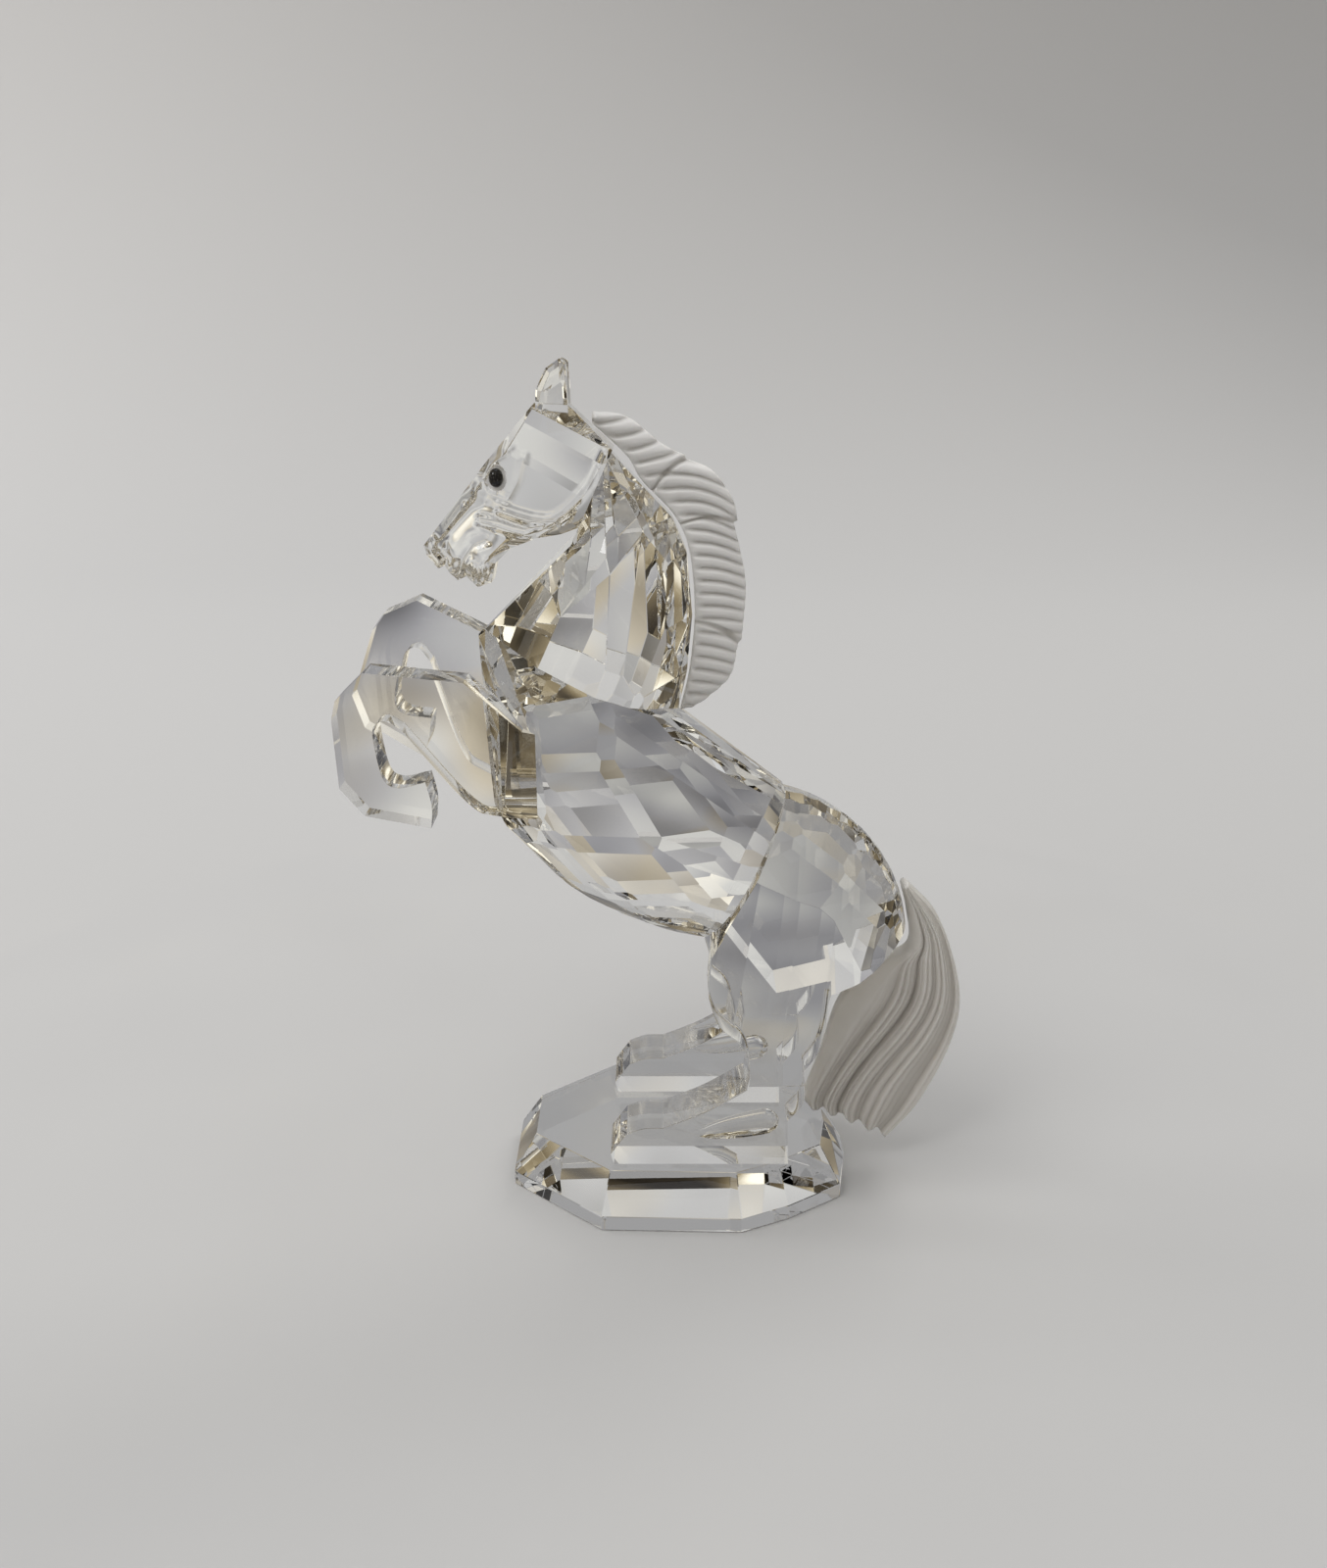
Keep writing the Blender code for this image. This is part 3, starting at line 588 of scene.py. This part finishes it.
def point_on(path, share):
    """The point at a share of a path's length."""
    lengths = [(b - a).length for a, b in zip(path, path[1:])]
    left = share * sum(lengths)
    for start, stop, length in zip(path, path[1:], lengths):
        if left <= length:
            return start.lerp(stop, left / length)
        left -= length
    return path[-1].copy()


def set_off(points, distance):
    """A path seen from the side, moved to its right by a distance."""
    moved = []
    for index, point in enumerate(points):
        along = points[min(index + 1, len(points) - 1)] - points[max(index - 1, 0)]
        along.normalize()
        moved.append(point + Vector((along.z, 0.0, -along.x)) * distance)
    return moved


def moulded_plate(lines, relief):
    """A moulded flat piece between two edges, as two sheets joined around their border.

    lines holds rows of points, each from one edge to the other, and relief(row, column) gives
    half the thickness at a row and column and how much painted shade the hollow relief gets there.
    """
    bm = bmesh.new()
    # The hollows' painted shade, which the frost's material reads
    hollow = bm.verts.layers.float.new("hollow")
    rows, columns = len(lines) - 1, len(lines[0]) - 1
    for side in SIDES:
        sheet = bmesh.ops.create_grid(bm, x_segments=columns, y_segments=rows, size=0.5)["verts"]
        for vert in sheet:
            row, column = round((vert.co.y + 0.5) * rows), round((vert.co.x + 0.5) * columns)
            vert.co = lines[row][column]
            half_thickness, vert[hollow] = relief(row, column / columns)
            vert.co.y = side * half_thickness
    bmesh.ops.bridge_loops(bm, edges=[edge for edge in bm.edges if edge.is_boundary])
    bmesh.ops.recalc_face_normals(bm, faces=bm.faces[:])
    shade_smooth(bm)
    return bm


def rimmed_plate(stretches, thickness):
    """A flat piece with a rim ground round it.

    Each stretch of its outline has the width of its flat rim, the width of its rounded rim,
    the steps that each of its parts is smoothed with, and its points seen from the side.
    """
    outline = []
    for flat, rounded, steps, points in stretches:
        path = [mm(x, z) for x, z in points]
        if steps > 1:
            path = smooth_path(path, steps)
        outline += [(point, flat * MILLIMETRE, rounded * MILLIMETRE) for point in path[:-1]]
    widest = [max(item[kind] for item in outline) for kind in (1, 2)]
    bm = bmesh.new()
    layers = [bm.edges.layers.float.new(name) for name in ("flat_rim", "rounded_rim")]
    corners = [bm.verts.new(item[0]) for item in outline]
    face = bm.faces.new(corners)
    for index, item in enumerate(outline):
        edge = bm.edges.get((corners[index], corners[(index + 1) % len(corners)]))
        for layer, width, full in zip(layers, item[1:], widest):
            edge[layer] = width / full
    far_side = bmesh.ops.duplicate(bm, geom=[face])["geom"]
    bmesh.ops.translate(bm, verts=face.verts[:], vec=(0.0, -thickness / 2, 0.0))
    bmesh.ops.translate(bm, verts=[item for item in far_side if isinstance(item, bmesh.types.BMVert)],
                        vec=(0.0, thickness / 2, 0.0))
    bmesh.ops.bridge_loops(bm, edges=bm.edges[:])
    bmesh.ops.recalc_face_normals(bm, faces=bm.faces[:])
    prism = link_mesh("prism", bm)
    for name, width, segments in (("rounded_rim", widest[1], 10), ("flat_rim", widest[0], 1)):
        rim = prism.modifiers.new(name, "BEVEL")
        rim.limit_method = "WEIGHT"
        rim.edge_weight = name
        rim.width = width
        rim.segments = segments
    bm = apply_modifiers([prism])
    merge(bm)
    for face in bm.faces:
        face.smooth = abs(face.normal.y) < 0.999
    return bm


FORELEG_THICKNESS = 0.0048
# How far the middle of a leg lies from the middle of the horse
FORELEG_SPREAD = 0.0080
HIND_LEG_THICKNESS = 0.0070
HIND_LEG_SPREAD = 0.0088
# The legs' outlines, in stretches as rimmed_plate takes them
FORELEG = (
    (1.2, 0.0, 1, ((-19.2, 65.9), (-25.9, 71.9), (-37.6, 73.1), (-41.1, 69.7), (-41.7, 67.4),
                   (-41.4, 58.8), (-38.6, 55.3), (-30.6, 53.7))),
    (0.6, 0.0, 8, ((-30.6, 53.7), (-30.4, 56.5), (-31.0, 59.6))),
    (0.0, 0.8, 14, ((-31.0, 59.6), (-34.4, 58.9), (-36.1, 60.2), (-36.9, 65.2), (-36.5, 66.8),
                   (-35.3, 67.2), (-33.6, 66.2))),
    (0.0, 2.0, 14, ((-33.6, 66.2), (-26.1, 57.0), (-22.0, 55.2), (-12.0, 54.6))),
    (0.0, 0.0, 1, ((-12.0, 54.6), (-12.0, 64.6), (-19.2, 65.9))),
)


def make_foreleg(name, side, lift):
    """A foreleg with crisp outer rims and rounded inner ones, turned up about the shoulder."""
    bm = rimmed_plate(FORELEG, FORELEG_THICKNESS)
    tilt(bm, mm(-21.1, 65.3), lift)
    move(bm, (0.0, side * FORELEG_SPREAD, 0.0))
    cut_joint(bm, mm(-25.5, 62.0, side * 2.0), (-0.72, 0.69 * side, 0.0))
    mark_sharp(bm, 14.0)
    add_piece(name + "_glass", bm, [crystal], name)


# The rump's facets touch an ellipsoid, with so many in the row round its middle
RUMP_CENTRE = mm(8.2, 34.3)
RUMP_HALF_WIDTH = 0.0145
RUMP_RADIUS = 0.0215
RUMP_FACETS = 24
# The flat sides that the rump shares with the legs' outer faces
HIP_SIDE = 0.0123


def make_rump():
    """The round rump, with rows of facets that touch an ellipsoid and small ones between."""
    bm = bmesh.new()
    bmesh.ops.create_cube(bm, size=0.08, matrix=Matrix.Translation(RUMP_CENTRE))
    cut_joint(bm, mm(7.9, 45.6), (0.883, 0.0, -0.469))
    cut(bm, mm(20.5, 32.3), Vector((0.25, 0.0, -0.97)))
    cut(bm, mm(20.5, 32.3), Vector((0.45, 0.0, -0.89)))
    cut(bm, mm(7.0, 37.0), Vector((-0.8, 0.0, -0.6)))
    # Each row's lean to the side, its number of facets and the first one's turn
    rows = [(0.0, RUMP_FACETS, 0.0)]
    for side in SIDES:
        cut(bm, Vector((0.0, side * HIP_SIDE, 0.0)), Vector((0.0, side, 0.0)))
        rows += [(side * 20.0, 24, 7.5), (side * 38.0, 13, 4.0), (side * 57.0, 8, 20.0)]
    for degrees, count, first in rows:
        lean = math.radians(degrees)
        for index in range(count):
            turn = math.radians(first + 360.0 * index / count)
            normal = Vector((math.cos(lean) * math.cos(turn), math.sin(lean),
                             math.cos(lean) * math.sin(turn)))
            reach = math.hypot(RUMP_HALF_WIDTH * math.sin(lean), RUMP_RADIUS * math.cos(lean))
            cut(bm, RUMP_CENTRE + normal * reach, normal)
    grind_edges(bm, 8.0, 30.0, 0.0000110)
    return bm


# How high the hooves stand and the thighs' flats end, in millimetres
HOOF_LEVEL = 7.3
THIGH_END = 19.0
HIND_LEG = (
    (0.0, 0.0, 1, ((7.31, 43.86), (3.60, 36.86))),
    (0.75, 0.0, 1, ((3.60, 36.86), (3.3, 31.3))),
    (0.0, 3.0, 14, ((3.3, 31.3), (4.6, 27.6), (7.6, 24.6), (8.6, 21.4), (8.2, 18.4))),
    (0.0, 1.8, 14, ((8.2, 18.4), (3.0, 15.1), (-2.4, 12.7))),
    (0.0, 1.2, 10, ((-2.4, 12.7), (-5.0, 12.6), (-7.2, 11.8))),
    (1.0, 0.0, 1, ((-7.2, 11.8), (-9.3, 8.8), (-8.2, 4.6))),
    (0.0, 0.0, 1, ((-8.2, 4.6), (14.1, 4.6))),
    (0.9, 0.0, 1, ((14.1, 4.6), (13.7, 13.6))),
    (0.0, 1.3, 14, ((13.7, 13.6), (15.7, 16.6), (15.6, 21.0))),
    (0.0, 3.2, 14, ((15.6, 21.0), (17.3, 23.6), (18.1, 27.0), (18.4, 30.8))),
    (0.0, 0.0, 1, ((18.4, 30.8), (19.3, 34.0), (19.0, 38.5), (16.0, 42.5), (7.31, 43.86))),
)


def make_scoop(side):
    """The long drop-shaped hollow under a cannon, with its round end at the hock."""
    stretch = 4.5
    bm = ball(48, 0.0021)
    for vert in bm.verts:
        if vert.co.x < 0.0:
            vert.co.x *= stretch
    tilt(bm, (0, 0, 0), -12.7)
    move(bm, mm(10.6, 13.8, side * 13.1))
    shade_smooth(bm)
    return bm


def grind_thigh(bm, top, bottom, side, lean):
    """Grind a flat on one thigh that leans inward from a line down it, forward or to the rear."""
    depth = side * HIP_SIDE / MILLIMETRE
    top, bottom = mm(*top, depth), mm(*bottom, depth)
    turn = Matrix.Rotation(math.radians(lean * side), 3, (top - bottom).normalized())
    block = bmesh.new()
    bmesh.ops.create_cube(block, size=0.06, matrix=Matrix.Translation((top + bottom) / 2))
    cut(block, top, turn @ Vector((0.0, -side, 0.0)))
    cut(block, mm(0.0, THIGH_END), Vector((0.0, 0.0, -1.0)))
    return combine(bm, block, "DIFFERENCE")


def make_hindquarters():
    """Rump and both hind legs."""
    bm = make_rump()
    for side in SIDES:
        leg = rimmed_plate(HIND_LEG, HIND_LEG_THICKNESS)
        move(leg, (0.0, side * HIND_LEG_SPREAD, 0.0))
        cut(leg, mm(0.0, HOOF_LEVEL), Vector((0.0, 0.0, -1.0)))
        leg = combine(leg, make_scoop(side), "DIFFERENCE")
        bm = combine(bm, leg, "UNION")
        bm = grind_thigh(bm, (8.6, 41.6), (7.4, 33.5), side, 7.0)
        bm = grind_thigh(bm, (14.2, 42.9), (12.9, 27.3), side, -3.5)
        bm = grind_thigh(bm, (17.2, 43.5), (16.2, 32.8), side, -9.0)
    merge(bm)
    polish_edges(bm)
    mark_sharp(bm, 14.0)
    add_piece("hindquarters_glass", bm, [crystal], "hindquarters")


def make_mane():
    """Four frosted locks with soft furrows across them, moulded in one piece."""
    crest = ((-0.6, 66.0), (0.5, 71.0), (1.1, 78.1), (0.4, 85.6), (-1.4, 89.9), (-5.2, 93.9),
             (-7.0, 96.8), (-11.0, 100.5))
    gap = 0.00036
    glued = smooth_path(set_off([mm(x, z) for x, z in crest], gap)[::-1], 12)
    # Each lock's start and end along the crest, its steps, its outer edge, and how its furrows
    # run: their slope at the crest and their curve at its top and bottom end, per millimetre
    locks = (
        (0.00, 0.27, 72, ((-10.7, 102.0), (-6.7, 101.4), (-2.6, 98.3), (0.1, 97.0)), 0.42, 0.00, -0.02),
        (0.27, 0.40, 60, ((0.3, 96.6), (3.4, 95.2), (5.8, 92.0), (6.5, 89.4)), 0.36, -0.07, -0.09),
        (0.40, 0.71, 108, ((6.0, 89.2), (6.9, 85.6), (7.6, 81.4), (7.2, 74.9)), 0.17, -0.07, -0.035),
        (0.71, 1.00, 84, ((6.8, 74.4), (5.9, 70.4), (3.4, 67.8), (1.2, 66.2)), 0.05, -0.05, -0.05),
    )
    half_thickness = 0.0016
    arch_share = 0.10
    columns = 44
    # From one furrow to the next, in millimetres
    spacing = 1.55
    lines = []
    runs = []
    for start, stop, steps, edge, slope, curve_top, curve_low in locks:
        outer = smooth_path([mm(x, z) for x, z in edge], 10)
        for step in range(steps + 1):
            share = step / steps
            root = point_on(glued, start + (stop - start) * share * 0.995)
            tip = point_on(outer, share)
            arch = Vector((0.0, 0.0, (tip - root).length * arch_share))
            lines.append([root.lerp(tip, u / columns) + arch * math.sin(math.pi * u / columns)
                          for u in range(columns + 1)])
            # How near the row is to an end of its lock, and its furrows' run
            end = math.exp(-(min(share, 1.0 - share) * steps / 1.5) ** 2)
            runs.append((end, slope, curve_top + (curve_low - curve_top) * share))

    def relief(row, column):
        end, slope, curve = runs[row]
        line = lines[row]
        point = line[round(column * columns)]
        away = (point.x - line[0].x) / MILLIMETRE
        level = point.z / MILLIMETRE - slope * away - curve * away * away
        furrow = (0.5 + 0.5 * math.cos(2.0 * math.pi * level / spacing)) ** 2.6
        edge = math.sin(math.pi * (0.10 + 0.84 * column)) ** 0.35
        fade = min(max((column - 0.02) / 0.16, 0.0), 1.0)
        depth = 0.46 * furrow * fade + 0.35 * end
        # Painted shade: darker in the furrows and at the ends of the locks, where they dip
        hollow = min(0.4 * furrow * fade + 0.8 * end, 1.0)
        return half_thickness * edge * (1.0 - min(depth, 0.62)), hollow

    add_piece("mane_frosted", moulded_plate(lines, relief), [mane_frost], "mane")


def make_tail():
    """Frosted tail with strands along its length, moulded in one piece."""
    # The glued end clears the corners of the rump's middle row
    gap = 0.0003
    reach = RUMP_RADIUS / math.cos(math.pi / RUMP_FACETS) + gap
    root = [RUMP_CENTRE + Vector((math.cos(angle), 0.0, math.sin(angle))) * reach
            for angle in (math.radians(20.0), math.radians(9.0), math.radians(-3.0))]
    under = [mm(x, z) for x, z in ((25.6, 30.4), (21.4, 24.8), (19.2, 16.8), (17.2, 10.6))]
    outer = [mm(x, z) for x, z in ((29.6, 42.4), (34.2, 37.0), (37.4, 27.0), (36.8, 19.0), (33.0, 9.6))]
    over_edge = mm(19.75, 7.5)
    slant = mm(1.0, -0.42)
    front = smooth_path(root + under + [over_edge - slant * 2.4], 8)
    back = smooth_path(outer + [over_edge + slant * 9.0], 8)
    half_thickness = 0.0023
    bundles = 4.5
    rows = 130
    columns = 190
    # Strands by their place across the tail, half-width and height
    strands = []
    place = 0.05
    index = 0
    while place < 1.02:
        width = 0.022 + 0.022 * (0.5 + 0.5 * math.sin(2.4 * index))
        strands.append((place, width, 0.70 + 0.30 * math.sin(1.7 * index + 0.6)))
        place += width * 1.8
        index += 1
    lines = []
    for row in range(rows + 1):
        share = row / rows
        root = point_on(front, share)
        tip = point_on(back, share)
        bow = Vector((0.0, 0.0, (tip - root).length * 0.05))
        # The bundles' tips are rounded, so the lower edge is scalloped
        notch = 0.0009 * max(0.0, (share - 0.9) / 0.1) ** 2
        lines.append([root.lerp(tip, u / columns) + bow * math.sin(math.pi * u / columns) * share
                      + Vector((0.0, 0.0, notch * abs(math.cos(math.pi * bundles * u / columns)) ** 3))
                      for u in range(columns + 1)])

    def relief(row, column):
        share = row / rows
        # The strands swing forward and back as they fall
        sway = math.sin(2.7 * math.pi * share + 1.2 * column)
        swing = column + 0.11 * sway * math.sin(math.pi * column)
        ridge = 0.0
        for place, width, height in strands:
            ridge = max(ridge, height * math.exp(-((swing - place) / width) ** 2))
        wave = abs(math.sin(math.pi * bundles * swing)) ** 0.7
        edge = math.sin(math.pi * (0.05 + 0.90 * column)) ** 0.4
        smooth = 0.38 * (1.0 - share) ** 1.5
        fade = min(1.0, 0.30 + 1.6 * share) * min(max((swing - smooth) / 0.16, 0.0), 1.0)
        raised = 0.40 * ridge + 0.22 * wave
        height = 0.38 + fade * raised + 0.62 * (1.0 - fade)
        # Painted shade: darker between the strands, where the relief is low
        hollow = fade * (1.0 - raised / 0.62) ** 1.5
        thinning = 0.75 + 0.25 * math.sin(math.pi * share)
        return half_thickness * edge * height * thinning, hollow

    add_piece("tail_frosted", moulded_plate(lines, relief), [tail_frost], "tail")


for node in ("plinth", "body", "neck"):
    cut_glass(node)
make_foreleg("left_foreleg", LEFT, 0.0)
make_foreleg("right_foreleg", RIGHT, 21.0)
make_hindquarters()
make_head()
make_eyes()
make_mane()
make_tail()


# Stage, light and camera

# The floor lies just under the plinth, and the card on it between the two
FLOOR_LEVEL = -0.00015
FLOOR_CARD_LEVEL = -0.00014
CARD_RADIUS = 0.14
# A painted shade for the floor round the plinth: its look as lit, darker for the plinth's painted
# shadow on it
PAINTED_FLOOR_SHADOW = (0.34, 0.34, 0.345, 1.0)


def make_floor():
    """A pale floor that sweeps up into a backdrop."""
    material, _, shader = new_material("pale_floor")
    shader.inputs["Roughness"].default_value = 0.9
    shader.inputs["Base Color"].default_value = (0.56, 0.56, 0.56, 1.0)
    bm = bmesh.new()
    half = 1.6
    bend = 0.45
    verts = [bm.verts.new((x, -half, FLOOR_LEVEL)) for x in (-half, half)]
    edge = bm.edges.new(verts)
    flat = bmesh.ops.extrude_edge_only(bm, edges=[edge])["geom"]
    bmesh.ops.translate(bm, verts=[item for item in flat if isinstance(item, bmesh.types.BMVert)],
                        vec=(0.0, half + bend, 0.0))
    rear = [item for item in flat if isinstance(item, bmesh.types.BMEdge)]
    bmesh.ops.spin(bm, geom=rear, cent=(0.0, bend, 0.5), axis=(1.0, 0.0, 0.0), dvec=(0.0, 0.0, 0.0),
                   angle=math.radians(75.0), steps=24, use_merge=False, use_duplicate=False)
    bmesh.ops.recalc_face_normals(bm, faces=bm.faces[:])
    floor = link_mesh("floor", bm, [material])
    floor.data.shade_smooth()


def make_world():
    """Soft studio surroundings: bright above, dark and warm towards the horizon."""
    world = bpy.data.worlds.new("studio")
    bpy.context.scene.world = world
    world.use_nodes = True
    tree = world.node_tree
    background = tree.nodes["Background"]
    place = tree.nodes.new("ShaderNodeTexCoord").outputs["Generated"]
    height = map_range(tree, split_axes(tree, place)["Z"], -1.0, 1.0)
    colours = colour_ramp(tree, height, (
        (0.0, (0.05, 0.04, 0.03)), (0.48, (0.10, 0.07, 0.04)), (0.56, (0.42, 0.33, 0.22)),
        (0.68, (0.70, 0.66, 0.60)), (0.82, (1.0, 1.0, 1.0)), (1.0, (1.1, 1.12, 1.15))))
    tree.links.new(colours, background.inputs["Color"])
    background.inputs["Strength"].default_value = 0.6


def new_card_material(name):
    """A material that shines by itself, its shader and its place."""
    material, tree, shader = new_material(name)
    shader.inputs["Base Color"].default_value = (0.0, 0.0, 0.0, 1.0)
    shader.inputs["Specular IOR Level"].default_value = 0.0
    shader.inputs["Emission Strength"].default_value = 1.0
    place = tree.nodes.new("ShaderNodeTexCoord").outputs["Object"]
    return material, tree, shader, place


def moved_noise(tree, place, scale, offset):
    """A noise texture that differs from the others by its offset."""
    moved = tree.nodes.new("ShaderNodeMapping")
    moved.inputs["Location"].default_value = (offset, 0.43 * offset, 0.71 * offset)
    tree.links.new(place, moved.inputs["Vector"])
    return noise(tree, moved.outputs["Vector"], scale, 1.0)


def calm_patches(tree, place, scale, brightness=1.0):
    """Soft patches in pale greys, some of them cream."""
    patches = moved_noise(tree, place, scale, 0.0)
    cool = colour_ramp(tree, patches, (
        (0.28, (0.10, 0.10, 0.105)), (0.36, (0.25, 0.25, 0.265)), (0.43, (0.37, 0.37, 0.39)),
        (0.50, (0.47, 0.47, 0.48)), (0.57, (0.58, 0.58, 0.57)), (0.68, (0.74, 0.74, 0.71))))
    warm = colour_ramp(tree, patches, (
        (0.32, (0.10, 0.085, 0.06)), (0.42, (0.32, 0.28, 0.21)), (0.50, (0.52, 0.47, 0.38)),
        (0.58, (0.72, 0.66, 0.54)), (0.68, (1.1, 1.05, 0.92))))
    tints = moved_noise(tree, place, scale * 0.8, 0.7)
    colour = blend_colours(tree, map_range(tree, tints, 0.57, 0.65), cool, warm)
    dimmed = tree.nodes.new("ShaderNodeVectorMath")
    dimmed.operation = "SCALE"
    dimmed.inputs["Scale"].default_value = brightness
    tree.links.new(colour, dimmed.inputs[0])
    return dimmed.outputs["Vector"]


def deep_patches(tree, place, scale):
    """Patches from almost black over brown and gold to white."""
    patches = moved_noise(tree, place, scale, 1.9)
    return colour_ramp(tree, patches, (
        (0.36, (0.012, 0.010, 0.008)), (0.44, (0.07, 0.055, 0.035)), (0.50, (0.17, 0.135, 0.08)),
        (0.56, (0.30, 0.245, 0.15)), (0.61, (0.50, 0.43, 0.29)), (0.68, (1.4, 1.32, 1.1))))


def make_ring_material():
    """Calm behind the horse, deep on the other sides and higher up."""
    material, tree, shader, place = new_card_material("card_ring")
    axes = split_axes(tree, place)
    calm = calm_patches(tree, place, 27.0)
    deep = deep_patches(tree, place, 30.0)
    # Paler where the head is seen against it
    pale = map_range(tree, axes["Z"], 0.055, 0.080, 0.0, 0.62)
    calm = blend_colours(tree, pale, calm, (0.66, 0.66, 0.65, 1.0))
    behind = map_range(tree, axes["Y"], 0.095, 0.125)
    low = blend_colours(tree, behind, deep, calm)
    high = map_range(tree, axes["Z"], 0.12, 0.19)
    tree.links.new(blend_colours(tree, high, low, deep), shader.inputs["Emission Color"])
    return material


def make_floor_card_material():
    """Calm patches, and round the plinth the floor as lit, with the plinth's painted shadow on it."""
    material, tree, shader, place = new_card_material("card_floor")
    reach = tree.nodes.new("ShaderNodeVectorMath")
    reach.operation = "LENGTH"
    tree.links.new(place, reach.inputs[0])
    # Within this reach the card shows the painted shadow of the plinth on the floor
    outside = map_range(tree, reach.outputs["Value"], 0.032, 0.048)
    calm = calm_patches(tree, place, 28.0, 0.68)
    tree.links.new(blend_colours(tree, outside, PAINTED_FLOOR_SHADOW, calm), shader.inputs["Emission Color"])
    return material


def make_window_material():
    """A bright window, a little uneven."""
    material, tree, shader, place = new_card_material("card_window")
    glow = colour_ramp(tree, moved_noise(tree, place, 20.0, 0.3), (
        (0.3, (0.85, 0.87, 0.9)), (0.7, (1.0, 1.0, 1.0))))
    tree.links.new(glow, shader.inputs["Emission Color"])
    shader.inputs["Emission Strength"].default_value = 6.0
    return material


def add_card(name, bm, material):
    """A studio card that only the glass and gloss show."""
    card = link_mesh(name, bm, [material])
    card.visible_camera = False
    card.visible_diffuse = False
    card.visible_shadow = False
    return card


def make_reflectors():
    """A ring of cards round the horse, one on the floor inside it, and a small window."""
    ring = bmesh.new()
    bmesh.ops.create_cone(ring, segments=96, radius1=CARD_RADIUS, radius2=CARD_RADIUS, depth=0.5)
    move(ring, (0.0, 0.0, 0.251))
    add_card("card_ring", ring, make_ring_material())
    disc = bmesh.new()
    bmesh.ops.create_circle(disc, cap_ends=True, segments=96, radius=CARD_RADIUS)
    move(disc, (0.0, 0.0, FLOOR_CARD_LEVEL))
    add_card("card_floor", disc, make_floor_card_material())
    window = bmesh.new()
    facing = Vector((-0.645, -0.493, 0.585)).to_track_quat("Z", "Y").to_matrix().to_4x4()
    bmesh.ops.create_grid(window, x_segments=1, y_segments=1, size=0.016,
                          matrix=Matrix.Translation((-0.099, -0.064, 0.164)) @ facing)
    add_card("card_window", window, make_window_material()).visible_transmission = False


def add_softbox(name, place, size, power, colour, target=(0.0, 0.0, 0.05)):
    """A soft rectangular light that looks at a target."""
    light = bpy.data.lights.new(name, "AREA")
    light.shape = "RECTANGLE"
    light.size, light.size_y = size
    light.energy = power
    light.color = colour
    lamp = bpy.data.objects.new(name, light)
    bpy.context.scene.collection.objects.link(lamp)
    lamp.visible_transmission = False
    lamp.location = place
    lamp.rotation_euler = (Vector(target) - Vector(place)).to_track_quat("-Z", "Y").to_euler()


def make_camera():
    """The camera at the photograph's viewing angle."""
    lens = bpy.data.cameras.new("camera")
    lens.lens = 31.05
    lens.sensor_width = 36.0
    lens.clip_start = 0.001
    camera = bpy.data.objects.new("camera", lens)
    bpy.context.scene.collection.objects.link(camera)
    camera.location = (-0.0024, -0.164, 0.1123)
    camera.rotation_euler = (math.radians(71.0), 0.0, 0.0)
    bpy.context.scene.camera = camera


make_floor()
make_world()
make_reflectors()
add_softbox("key_light", (-0.35, -0.25, 0.65), (0.45, 0.35), 2.0, (1.0, 0.98, 0.95))
add_softbox("back_light", (0.35, 0.45, 0.55), (0.35, 0.25), 1.0, (1.0, 0.97, 0.92))
add_softbox("backdrop_light", (-0.75, 0.25, 0.55), (0.5, 0.5), 3.0, (1.0, 0.98, 0.96),
            (-0.45, 1.0, 0.15))
make_camera()

scene = bpy.context.scene
scene.cycles.max_bounces = 32
scene.cycles.transmission_bounces = 32
scene.cycles.glossy_bounces = 16
scene.cycles.transparent_max_bounces = 32
scene.view_settings.view_transform = "Standard"
